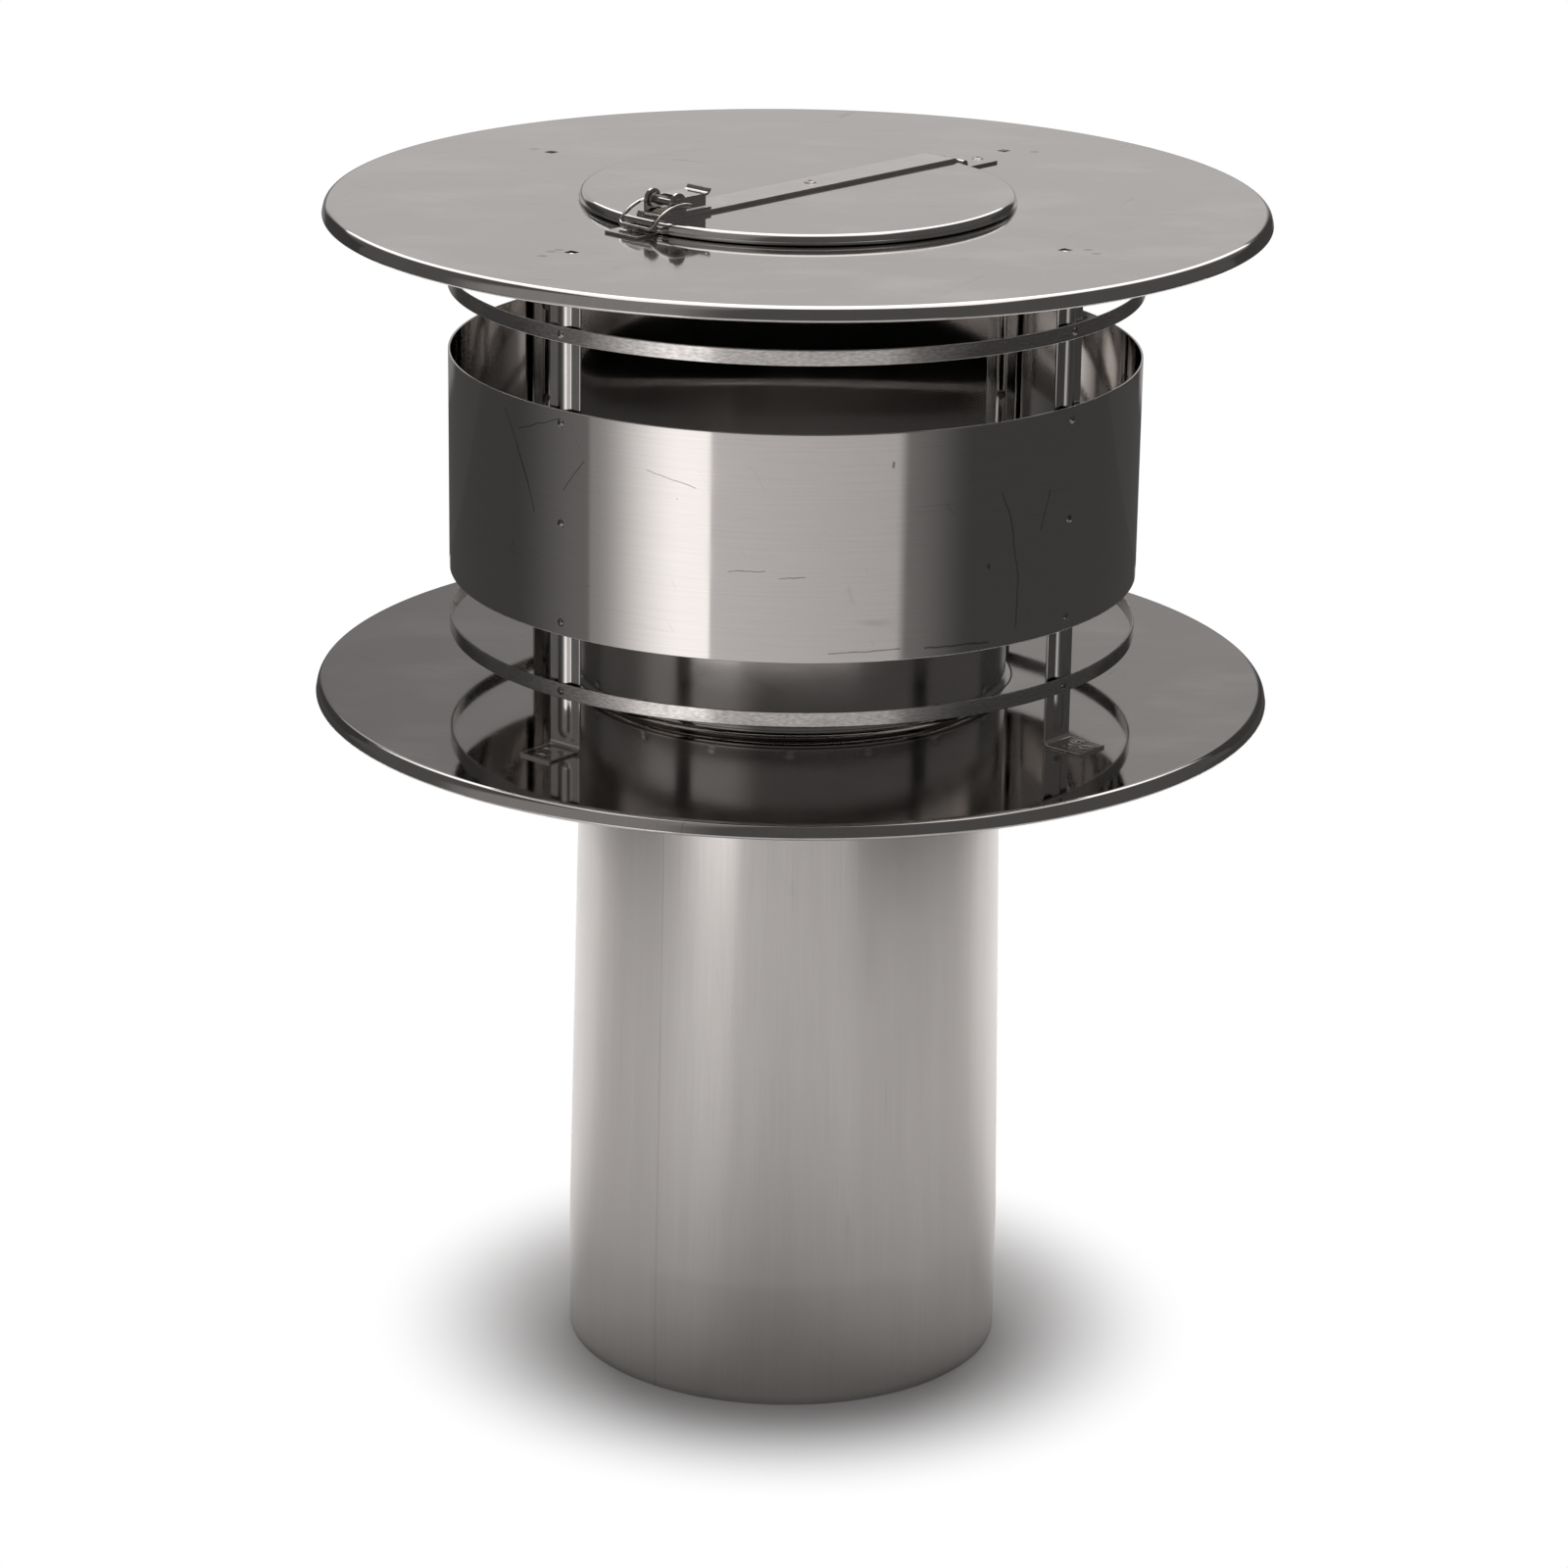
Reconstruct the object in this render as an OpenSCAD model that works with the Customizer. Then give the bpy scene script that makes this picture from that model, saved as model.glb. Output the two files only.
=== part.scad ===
// Chimney rain cap in stainless sheet: a tapered flue pipe carries a lower disc with a
// throat sleeve, four ribbed posts hold the upper disc, and a wind shroud with two ring
// strips is riveted round the posts. A hinged lid with a strap and a toggle latch closes
// the cleaning opening in the upper disc.
// Millimetres, +Z up, origin at the centre of the pipe's bottom end.

/* [Discs] */
// Diameter over the rim of the lower disc
lower_disc_d = 447; // [430:1:510]
// Diameter over the rim of the upper disc
upper_disc_d = 435; // [420:1:500]
// Distance from the lower disc's top face to the upper disc's top face
disc_gap = 227; // [205:2:265]
// Sheet thickness of the discs, pipe, sleeve, shroud, rings and lid
sheet = 1; // [0.8:0.1:1.2]
// Depth of the turned-down rim
rim_h = 6.5; // [5.5:0.5:10]
// Inside radius of the rim's bend
rim_bend = 1.5; // [1:0.25:2]
// Radius of the hem rolled along the rim's lower edge
hem_r = 1.1; // [0.9:0.1:1.3]

/* [Flue pipe] */
// Length of the pipe below the lower disc's top face
pipe_len = 331; // [251:2:401]
// Outside diameter at the bottom end
pipe_d = 208; // [200:1:209]
// How much narrower the pipe is at its top, inside the lower disc's collar
pipe_taper = 10; // [8:1:14]
// Length of the straight stretch at the bottom
straight_len = 60; // [40:2:80]
// Length of pipe that stands up inside the collar
pipe_tuck = 20; // [16:1:24]

/* [Throat] */
// Height of the lower disc's drawn collar
collar_h = 26; // [24:1:32]
// Radius of the fillet between the collar and the disc
collar_bend = 5; // [3:0.5:6]
// Height of the sleeve's top above the lower disc
throat_h = 88; // [60:2:100]
// Radius of the bead rolled round the sleeve's top
throat_bead_r = 1.5; // [1:0.1:2]

/* [Wind shroud and rings] */
// Outside diameter of the shroud and of both ring strips
band_d = 321; // [316:0.5:332]
// Height of the shroud
shroud_h = 103.5; // [90:0.5:115]
// Height of the shroud's lower edge above the lower disc
shroud_z = 54; // [44:0.5:55]
// Height of each ring strip
ring_h = 7; // [6:0.5:9]
// Height of the lower ring's middle above the lower disc
lower_ring_z = 28; // [22:0.5:34]
// Height of the upper ring's middle above the lower disc
upper_ring_z = 191.5; // [184:0.5:194]
// Distance of the shroud's end rivets from its edges
rivet_edge = 6; // [4:0.5:10]

/* [Posts] */
// Width of a post's strip
post_w = 18; // [16:0.5:24]
// Thickness of a post's strip
post_t = 1.2; // [1:0.1:1.3]
// Length of a foot, from the strip's outer face
foot_len = 20; // [16:0.5:26]
// Inside radius of the bend between strip and foot
foot_bend = 2; // [1.5:0.25:3]
// Height of the rib pressed out of the strip
rib_h = 1.65; // [1.5:0.05:1.9]
// Outer radius of the rib's round section
rib_r = 4.45; // [4.3:0.05:4.8]
// Distance of the rib's end centre from either disc
rib_end = 9.5; // [8:0.5:14]

/* [Post rivets] */
// Radius of a rivet's shank
shank_r = 1.2; // [1:0.05:1.3]
// Radius of a rivet's domed head
head_r = 1.9; // [1.6:0.1:2.2]
// Height of a rivet's domed head
head_h = 0.9; // [0.7:0.1:1.2]

/* [Upper disc openings] */
// Outside radius of the neck round the cleaning opening
neck_r = 97.5; // [94:0.5:98]
// Height of the neck above the upper disc
neck_h = 3.7; // [3:0.1:3.7]
// Side of each square drain hole
drain_w = 5; // [4:0.5:8]
// Sheet left between a drain hole and the post's strip beneath
drain_gap = 0.6; // [0.4:0.1:3]

/* [Lid] */
// Outside diameter of the lid, without its hem
lid_d = 200; // [198:0.5:202]
// Height of the lid's top face above the upper disc
lid_h = 5; // [5:0.25:7]
// Outside radius of the lid's shoulder
lid_bend = 2.5; // [2:0.25:3]
// Gap between the closed lid's hem and the upper disc
lid_gap = 0.3; // [0.3:0.1:0.6]
// Turn of the strap's line from the line through two posts
strap_turn = -3; // [-8:1:8]

/* [Strap and hinge] */
// Width of the strap across the lid
strap_w = 18; // [16:0.5:20]
// Thickness of the strap
strap_t = 1.5; // [1.2:0.1:1.8]
// Distance of the hinge pin from the disc's axis
hinge_u = 105.5; // [105:0.5:108]
// Radius of the hinge pin
hinge_pin_r = 1.1; // [1:0.05:1.2]
// Thickness of the hinge bracket's sheet
hinge_t = 1.2; // [1:0.1:1.4]
// Width of the strap's knuckle, between the bracket's two
knuckle_w = 8; // [7:0.5:9]
// Distance of the bracket's outer end from the disc's axis
hinge_end = 129; // [126:1:140]
// Distance of the rivet that holds the strap to the lid from the lid's middle
strap_rivet_u = 8; // [0:1:20]

/* [Toggle latch] */
// Distance of the lever's pivot from the disc's axis
pivot_u = 87; // [85:0.5:88]
// Height of the lever's pivot above the strap
pivot_h = 5; // [4.8:0.1:6]
// Distance of the bail's holes behind the lever's pivot
throw_u = 7; // [6.7:0.1:8]
// Distance of the bail's holes below the lever's pivot
throw_h = 1.3; // [1:0.1:1.6]
// Thickness of the latch's sheet
latch_t = 1.2; // [1:0.1:1.3]
// Half the width inside the base's two ears
ear_v = 7.2; // [6.5:0.1:7.4]
// Radius of the ears' round tops
ear_r = 5; // [4.5:0.1:5.2]
// Length of the lever from its pivot to the finger tip
lever_len = 19; // [17:0.5:22]
// Radius of the bail's wire
wire_r = 0.9; // [0.8:0.05:0.9]
// Radius of the bow in the bail's arms
bow_r = 24; // [20:1:40]
// Width of the keeper's plate
keeper_w = 20; // [18:0.5:21]
// Distance of the keeper plate's outer edge from the disc's axis
keeper_end = 115; // [112:1:120]

/* [Hidden] */
$fn = 96;

// Levels of the two discs' top faces
lower_z = pipe_len;
upper_z = pipe_len + disc_gap;
// Radial gap between nested tubes, and between a rivet and its hole
nest = 0.05;
// Running gap between pieces that move past each other
run = 0.3;
// Nested tubes at the throat, from the inside out
pipe_top_r = (pipe_d - pipe_taper) / 2;
collar_r = pipe_top_r + nest + sheet;
throat_r = collar_r + nest;
// Band, rib crest and strip lie one on the other, from the outside in
band_r = band_d / 2;
band_in = band_r - sheet;
crest_r = band_in - nest;
strip_out = crest_r - rib_h;
strip_in = strip_out - post_t;
drain_r = strip_in - drain_gap - drain_w / 2;
post_angles = [-45, 45, 135, -135];
// Heights of a post's five rivets above the lower disc
shroud_rivet_z = [shroud_z + rivet_edge, shroud_z + shroud_h / 2, shroud_z + shroud_h - rivet_edge];
post_rivet_z = concat(shroud_rivet_z, [lower_ring_z, upper_ring_z]);
// Strap line: +X of its frame runs from the disc's axis to the hinge
strap_az = 135 + strap_turn;
lid_r = lid_d / 2;
neck_bend = 1.5;
// Strap lies on the lid and bends down over its shoulder to the hinge pin
strap_z = lid_h;
strap_top = strap_z + strap_t;
pin_z = hinge_pin_r + nest / 2 + hinge_t;
eye_r = pin_z - run;
bend_in = lid_bend + 0.1;
bend_mid = bend_in + strap_t / 2;
bend_u = lid_r - lid_bend;
bend_z = strap_z - bend_in;
slope = asin(bend_mid / norm([hinge_u - bend_u, bend_z - pin_z]))
    + atan((bend_z - pin_z) / (hinge_u - bend_u));
tail_len = norm([hinge_u - bend_u - bend_mid * sin(slope), bend_z + bend_mid * cos(slope) - pin_z]);
// Latch: u runs towards the hinge, so the latch has negative u
pivot = [-pivot_u, strap_top + pivot_h];
bail_at = [-pivot_u + throw_u, strap_top + pivot_h - throw_h];
base_top = strap_top + latch_t;
pivot_pin_r = 1.5;
pivot_head_t = 0.6;
ear_out = ear_v + latch_t;
cheek_out = ear_v - run;
cheek_in = cheek_out - latch_t;
arm_v = ear_out + pivot_head_t + run + 0.1 + wire_r;
// Keeper's wall stands clear of the lid's hem, with its curl on top
lid_hem_r = 0.8;
lid_out = lid_r - sheet / 2 + lid_hem_r + 0.1;
keeper_wall = lid_out + 0.6;
curl_r = 1.8;
curl_at = [-(keeper_wall + curl_r), lid_h - 0.1];
bar_at = [curl_at[0] - curl_r - wire_r - 0.6, 3];
// Bail's arms follow an arc about bow_at, tangent to the round corners at both ends
arm_corner = 1.6;
bar_corner = 2.4;
bow_steps = 12;
corner_steps = 6;
wire_sides = 12;
bow_span = norm(bar_at - bail_at);
bow_dir = (bar_at - bail_at) / bow_span;
bow_along = (arm_corner * arm_corner - bar_corner * bar_corner + bow_span * bow_span) / (2 * bow_span);
bow_drop = sqrt(bow_r * bow_r + arm_corner * arm_corner - bow_along * bow_along);
bow_at = bail_at + bow_along * bow_dir + bow_drop * [-bow_dir[1], bow_dir[0]];
bow_from = bearing(bail_at - bow_at) + atan(arm_corner / bow_r);
bow_to = bearing(bar_at - bow_at) - atan(bar_corner / bow_r);

// Angle of a vector in u and z, and the point of the bail's arc at an angle
function bearing(d) = atan2(d[1], d[0]);
function bow_point(a) = bow_at + bow_r * [cos(a), sin(a)];

// Unit vector at an angle in u and z, and a point from a pair in u and z at distance v
function along(a) = [cos(a), 0, sin(a)];
function at_v(p, v) = [p[0], v, p[1]];

// Ring of a corner of radius r that starts at p across the line and turns by t towards
// the direction a, and ring of one that starts along a and turns back across the line
function corner_in(p, r, a, t) = [at_v(p, arm_v - r + r * sin(t)) + r * (1 - cos(t)) * along(a),
    sin(t) * along(a) + [0, cos(t), 0], along(a - 90)];
function corner_out(p, r, a, t) = [at_v(p, arm_v - r + r * cos(t)) + r * sin(t) * along(a),
    cos(t) * along(a) - [0, sin(t), 0], along(a - 90)];

// Rings of the bail's left half, from the wire's end in the lever to the bar
bail_left = concat(
    [[at_v(bail_at, cheek_in - 0.3), [0, 1, 0], along(bow_from)]],
    [for (i = [0 : corner_steps]) corner_in(bail_at, arm_corner, bow_from + 90, 90 * i / corner_steps)],
    [for (i = [1 : bow_steps - 1]) let (a = bow_from + (bow_to - bow_from) * i / bow_steps)
        [at_v(bow_point(a), arm_v), along(a + 90), along(a)]],
    [for (i = [0 : corner_steps]) corner_out(bow_point(bow_to), bar_corner, bow_to + 90, 90 * i / corner_steps)]);

// Ring on the other side of the strap's line, passed through the other way
function mirrored(ring) = [[ring[0][0], -ring[0][1], ring[0][2]], [-ring[1][0], ring[1][1], -ring[1][2]], ring[2]];

// Square that covers one quadrant of a circle
module quadrant(r, sx, sy) {
    translate([sx > 0 ? 0 : -r, sy > 0 ? 0 : -r]) square(r);
}

// Quarter bend of a sheet in the quadrant that sx and sy point to
module bend(r_in, t, sx, sy) {
    intersection() {
        difference() {
            circle(r = r_in + t);
            circle(r = r_in);
        }
        quadrant(r_in + t, sx, sy);
    }
}

// Flat disc sheet of diameter d with its turned-down, hemmed rim, from radius r_from; top face at 0
module disc_section(d, r_from) {
    disc_r = d / 2;
    turn = rim_bend + sheet;
    translate([r_from, -sheet]) square([disc_r - turn - r_from, sheet]);
    translate([disc_r - turn, -turn]) bend(rim_bend, sheet, 1, 1);
    translate([disc_r - sheet, -rim_h + hem_r]) square([sheet, rim_h - hem_r - turn]);
    translate([disc_r - hem_r, -rim_h + hem_r]) circle(r = hem_r);
}

// Neck drawn up from a sheet: outer radius r, height h, fillet radius f; top face at 0
module neck_section(r, h, f) {
    translate([r + f, f]) bend(f, sheet, -1, -1);
    translate([r - sheet, f]) square([sheet, h - f]);
}

// Straight tube on the axis
module tube(r_out, r_in, h) {
    difference() {
        cylinder(r = r_out, h = h);
        translate([0, 0, -1]) cylinder(r = r_in, h = h + 2);
    }
}

// Children turned to a bearing, with their +X pointing away from the axis
module at_bearing(az) {
    rotate([0, 0, az - 90]) children();
}

// Children placed in the strap's frame on the upper disc
module on_strap_line() {
    translate([0, 0, upper_z]) at_bearing(strap_az) children();
}

// Profile in u and z, extruded across the strap's line by width w about v
module across(w, v = 0) {
    translate([0, v + w / 2, 0]) rotate([90, 0, 0]) linear_extrude(w) children();
}

// Radial hole for one rivet
module rivet_hole(z) {
    translate([strip_in - 3, 0, z]) rotate([0, 90, 0]) cylinder(r = shank_r + nest, h = foot_len);
}

// Rivet along +Z: domed head above 0, shank down through a grip, upset tail below it;
// a dimple in the head is left by the setting pin
module rivet(grip, r_shank, r_head, h_head, r_tail, tail) {
    ball = (r_head * r_head + h_head * h_head) / (2 * h_head);
    difference() {
        union() {
            translate([0, 0, -grip - tail]) cylinder(r = r_tail, h = tail - 0.8);
            translate([0, 0, -grip - 0.8]) cylinder(r1 = r_tail, r2 = r_shank, h = 0.4);
            translate([0, 0, -grip - 0.4]) cylinder(r = r_shank, h = grip + 0.4 + h_head * 0.3);
            intersection() {
                translate([0, 0, h_head - ball]) sphere(r = ball);
                cylinder(r = r_head + 1, h = h_head + 1);
            }
        }
        translate([0, 0, h_head * 0.5]) cylinder(r = r_head * 0.32, h = h_head);
    }
}

// Rivet through band and rib crest, with its head on the band
module band_rivet(z) {
    translate([band_r, 0, z]) rotate([0, 90, 0])
        rivet(band_r - crest_r + post_t, shank_r, head_r, head_h, head_r, 1.9);
}

// Wire through a list of rings, each with its middle, its direction and its normal
module wire(rings) {
    sides = wire_sides;
    last = len(rings) - 1;
    polyhedron(
        points = [for (ring = rings, j = [0 : sides - 1])
            ring[0] + wire_r * (cos(360 * j / sides) * ring[2] + sin(360 * j / sides) * cross(ring[1], ring[2]))],
        faces = concat(
            [for (i = [0 : last - 1], j = [0 : sides - 1])
                [i * sides + j, (i + 1) * sides + j, (i + 1) * sides + (j + 1) % sides]],
            [for (i = [0 : last - 1], j = [0 : sides - 1])
                [i * sides + j, (i + 1) * sides + (j + 1) % sides, i * sides + (j + 1) % sides]],
            [[for (j = [0 : sides - 1]) j]],
            [[for (j = [0 : sides - 1]) last * sides + sides - 1 - j]]));
}

// Rib's round bar with ball ends, used for the ridge and for its hollow
module rib_bar(r, z_low, z_high) {
    translate([crest_r - rib_r, 0, z_low]) {
        cylinder(r = r, h = z_high - z_low);
        sphere(r = r);
        translate([0, 0, z_high - z_low]) sphere(r = r);
    }
}

// Post: strip with both feet turned outwards and a rib pressed outwards along it
module post(az) {
    z0 = lower_z;
    z1 = upper_z - sheet;
    turn = foot_bend + post_t;
    at_bearing(az) difference() {
        union() {
            across(post_w) {
                translate([strip_in, z0 + turn]) square([post_t, z1 - z0 - 2 * turn]);
                translate([strip_out + foot_bend, z0 + turn]) bend(foot_bend, post_t, -1, -1);
                translate([strip_out + foot_bend, z1 - turn]) bend(foot_bend, post_t, -1, 1);
                translate([strip_out + foot_bend, z0]) square([foot_len - foot_bend, post_t]);
                translate([strip_out + foot_bend, z1 - post_t]) square([foot_len - foot_bend, post_t]);
            }
            intersection() {
                rib_bar(rib_r, z0 + rib_end, z1 - rib_end);
                translate([strip_in + post_t / 2, -post_w / 2, z0]) cube([foot_len, post_w, z1 - z0]);
            }
        }
        rib_bar(rib_r - post_t, z0 + rib_end, z1 - rib_end);
        for (z = post_rivet_z) rivet_hole(lower_z + z);
    }
}

// Band round the posts at height z, drilled for the rivets at the heights given
module band(z, h, rivets) {
    difference() {
        translate([0, 0, lower_z + z]) tube(band_r, band_in, h);
        for (az = post_angles, rz = rivets) at_bearing(az) rivet_hole(lower_z + rz);
    }
}

// Four posts' rivets at the heights given
module band_rivets(heights) {
    for (az = post_angles, z = heights) at_bearing(az) band_rivet(lower_z + z);
}

module flue_pipe() {
    cone_top = pipe_len - 14;
    color("silver") rotate_extrude() polygon([
        [pipe_d / 2 - sheet, 0], [pipe_d / 2, 0], [pipe_d / 2, straight_len],
        [pipe_top_r, cone_top], [pipe_top_r, pipe_len + pipe_tuck],
        [pipe_top_r - sheet, pipe_len + pipe_tuck], [pipe_top_r - sheet, cone_top],
        [pipe_d / 2 - sheet, straight_len]]);
}

module lower_disc() {
    color("lightgray") translate([0, 0, lower_z]) rotate_extrude() {
        disc_section(lower_disc_d, collar_r + collar_bend);
        neck_section(collar_r, collar_h, collar_bend);
    }
}

// Sleeve over the collar, with a bead rolled round its top edge
module throat_sleeve() {
    foot = collar_bend + 0.2;
    color("silver") translate([0, 0, lower_z]) rotate_extrude() {
        translate([throat_r, foot]) square([sheet, throat_h - foot - throat_bead_r]);
        translate([throat_r + throat_bead_r, throat_h - throat_bead_r]) circle(r = throat_bead_r);
    }
}

module post_front_left() {
    color("gainsboro") post(post_angles[0]);
}

module post_front_right() {
    color("gainsboro") post(post_angles[1]);
}

module post_back_right() {
    color("gainsboro") post(post_angles[2]);
}

module post_back_left() {
    color("gainsboro") post(post_angles[3]);
}

module wind_shroud() {
    color("silver") band(shroud_z, shroud_h, shroud_rivet_z);
}

module upper_ring() {
    color("lightgray") band(upper_ring_z - ring_h / 2, ring_h, [upper_ring_z]);
}

module lower_ring() {
    color("lightgray") band(lower_ring_z - ring_h / 2, ring_h, [lower_ring_z]);
}

module shroud_rivets() {
    color("gray") band_rivets(shroud_rivet_z);
}

module upper_ring_rivets() {
    color("gray") band_rivets([upper_ring_z]);
}

module lower_ring_rivets() {
    color("gray") band_rivets([lower_ring_z]);
}

// Upper disc: necked cleaning opening, four square drain holes and the hinge rivet's hole
module upper_disc() {
    color("lightgray") difference() {
        translate([0, 0, upper_z]) rotate_extrude() {
            disc_section(upper_disc_d, neck_r + neck_bend);
            neck_section(neck_r, neck_h, neck_bend);
        }
        for (az = post_angles) at_bearing(az)
            translate([drain_r - drain_w / 2, -drain_w / 2, upper_z - 3]) cube([drain_w, drain_w, 6]);
        on_strap_line() translate([hinge_end - 4, 0, -3]) cylinder(r = 1.5 + nest, h = 6);
    }
}

// Hinge leaf flat on the upper disc, its inner edge curled round the pin in two knuckles
module hinge_bracket() {
    color("silver") on_strap_line() difference() {
        union() {
            across(strap_w) {
                translate([hinge_u, 0]) square([hinge_end - hinge_u, hinge_t]);
                translate([hinge_u, pin_z]) circle(r = pin_z);
            }
        }
        across(knuckle_w + 2 * run) translate([hinge_u - 5, -1]) square([8.5, 2 * pin_z + 2]);
        across(strap_w + 2) translate([hinge_u, pin_z]) circle(r = hinge_pin_r + nest / 2);
        translate([hinge_end - 4, 0, -1]) cylinder(r = 1.5 + nest, h = hinge_t + 2);
    }
}

module hinge_pin() {
    color("dimgray") on_strap_line() across(strap_w + 1) translate([hinge_u, pin_z]) circle(r = hinge_pin_r);
}

// Rivet that holds the hinge bracket to the upper disc
module hinge_rivet() {
    color("gray") on_strap_line() translate([hinge_end - 4, 0, hinge_t])
        rivet(hinge_t + sheet, 1.5, 2.8, 0.9, 2.4, 2);
}

// Keeper: plate on the upper disc, wall beside the lid and a curl along its top
module latch_keeper() {
    color("silver") on_strap_line() {
        across(keeper_w) translate([-keeper_end, 0]) square([keeper_end - keeper_wall, latch_t]);
        across(keeper_w - 2) {
            translate([-keeper_wall - latch_t, 0]) square([latch_t, curl_at[1]]);
            translate(curl_at) difference() {
                circle(r = curl_r);
                circle(r = curl_r - latch_t);
            }
        }
    }
}

// Lid: shallow cap whose skirt stands round the neck and ends in a hem
module lid() {
    wall = lid_bend - sheet;
    color("lightgray") difference() {
        translate([0, 0, upper_z]) rotate_extrude() {
            translate([0, lid_h - sheet]) square([lid_r - lid_bend, sheet]);
            translate([lid_r - lid_bend, lid_h - lid_bend]) bend(wall, sheet, 1, 1);
            translate([lid_r - sheet, lid_gap + lid_hem_r]) square([sheet, lid_h - lid_bend - lid_gap - lid_hem_r]);
            translate([lid_r - sheet / 2 + 0.1, lid_gap + lid_hem_r]) circle(r = lid_hem_r);
        }
        lid_rivet_holes();
    }
}

// Places of the rivets through strap and lid, in the strap's frame
lid_rivets = [strap_rivet_u, -pivot_u + lever_len * 0.48, -pivot_u + lever_len * 0.88];

module lid_rivet_holes() {
    on_strap_line() for (u = lid_rivets) translate([u, 0, 0]) cylinder(r = 1.5 + nest, h = 20);
}

// Strap: flat across the lid, bent down over the shoulder to a narrow knuckle on the pin
module lid_strap() {
    color("silver") difference() {
        on_strap_line() difference() {
            across(strap_w) {
                translate([-lid_r + 4, strap_z]) square([lid_r - 4 + bend_u, strap_t]);
                translate([bend_u, bend_z]) intersection() {
                    difference() {
                        circle(r = bend_in + strap_t);
                        circle(r = bend_in);
                    }
                    polygon([[0, 0], [0, 9], [9 * tan(slope), 9]]);
                }
                translate([hinge_u, pin_z]) {
                    circle(r = eye_r);
                    rotate([0, 0, -slope]) translate([-tail_len, -strap_t / 2]) square([tail_len, strap_t]);
                }
            }
            for (side = [-1, 1]) across(strap_w, side * (knuckle_w + strap_w) / 2)
                translate([hinge_u - 4.5, -1]) square([10, 12]);
            across(strap_w + 2) translate([hinge_u, pin_z]) circle(r = hinge_pin_r + nest);
        }
        lid_rivet_holes();
    }
}

// Rivet near the lid's middle, through strap and lid
module strap_rivet() {
    color("gray") on_strap_line() translate([strap_rivet_u, 0, strap_top])
        rivet(strap_t + sheet, 1.5, 3, 1.1, 2.4, 2);
}

// Latch base: plate on the strap with two round-topped ears
module latch_base() {
    color("silver") difference() {
        on_strap_line() difference() {
            union() {
                across(2 * ear_out) translate([-lid_r + 4, strap_top]) square([lid_r - 4 - pivot_u + lever_len + 2, latch_t]);
                for (side = [-1, 1]) across(latch_t, side * (ear_v + latch_t / 2)) {
                    translate([pivot[0] - ear_r, strap_top]) square([2 * ear_r, pivot_h]);
                    translate(pivot) circle(r = ear_r);
                }
            }
            across(2 * ear_out + 2) translate(pivot) circle(r = pivot_pin_r + nest / 2);
        }
        lid_rivet_holes();
    }
}

// Two rivets through latch base, strap and lid
module latch_base_rivets() {
    color("gray") on_strap_line() for (i = [1, 2]) translate([lid_rivets[i], 0, base_top])
        rivet(latch_t + strap_t + sheet, 1.5, 2.6, 0.8, 2.4, 2);
}

// Hollow pivot pin set in the ears, with a flat head outside each
module latch_pivot_pin() {
    color("dimgray") on_strap_line() difference() {
        union() {
            across(2 * ear_out) translate(pivot) circle(r = pivot_pin_r);
            for (side = [-1, 1]) across(pivot_head_t, side * (ear_out + pivot_head_t / 2))
                translate(pivot) circle(r = pivot_pin_r + 1);
        }
        across(2 * arm_v) translate(pivot) circle(r = pivot_pin_r - 0.7);
    }
}

// Outline of a lever cheek: round at the pivot, straight to the finger tip
module cheek_section() {
    low = base_top + 0.35;
    translate(pivot) circle(r = pivot[1] - low);
    translate([pivot[0], low]) square([lever_len, pivot[1] + 2.2 - low]);
}

// Lever: channel folded back on the strap, with a finger tip curled up at its end
module latch_lever() {
    top = pivot[1] + 2.2;
    tip_u = pivot[0] + lever_len;
    tip_r = 3.5;
    color("silver") on_strap_line() difference() {
        union() {
            for (side = [-1, 1]) across(latch_t, side * (cheek_in + latch_t / 2)) cheek_section();
            across(2 * cheek_out) {
                translate([pivot[0] + 5.5, top - latch_t]) square([lever_len - 5.5, latch_t]);
                translate([tip_u, top + tip_r - latch_t]) intersection() {
                    difference() {
                        circle(r = tip_r);
                        circle(r = tip_r - latch_t);
                    }
                    polygon([[0, 0], [0, -9], [9, -9], [9, -1.5]]);
                }
            }
        }
        across(2 * ear_out) {
            translate(pivot) circle(r = pivot_pin_r + nest);
            translate(bail_at) circle(r = wire_r + nest);
        }
    }
}

// Bail: wire loop whose bent ends turn in the lever's holes and whose bar lies at the keeper
module latch_bail() {
    last = len(bail_left) - 1;
    color("silver") on_strap_line()
        wire(concat(bail_left, [for (i = [0 : last]) mirrored(bail_left[last - i])]));
}

flue_pipe();
lower_disc();
throat_sleeve();
post_front_left();
post_front_right();
post_back_left();
post_back_right();
wind_shroud();
upper_ring();
lower_ring();
shroud_rivets();
upper_ring_rivets();
lower_ring_rivets();
upper_disc();
hinge_bracket();
hinge_pin();
hinge_rivet();
latch_keeper();
lid();
lid_strap();
strap_rivet();
latch_base();
latch_base_rivets();
latch_pivot_pin();
latch_lever();
latch_bail();
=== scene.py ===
"""Looks of the chimney rain cap: rolled, pressed and polished stainless sheet round its solids."""

import bmesh
import bpy
import numpy as np
from mathutils import Matrix, Vector


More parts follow.
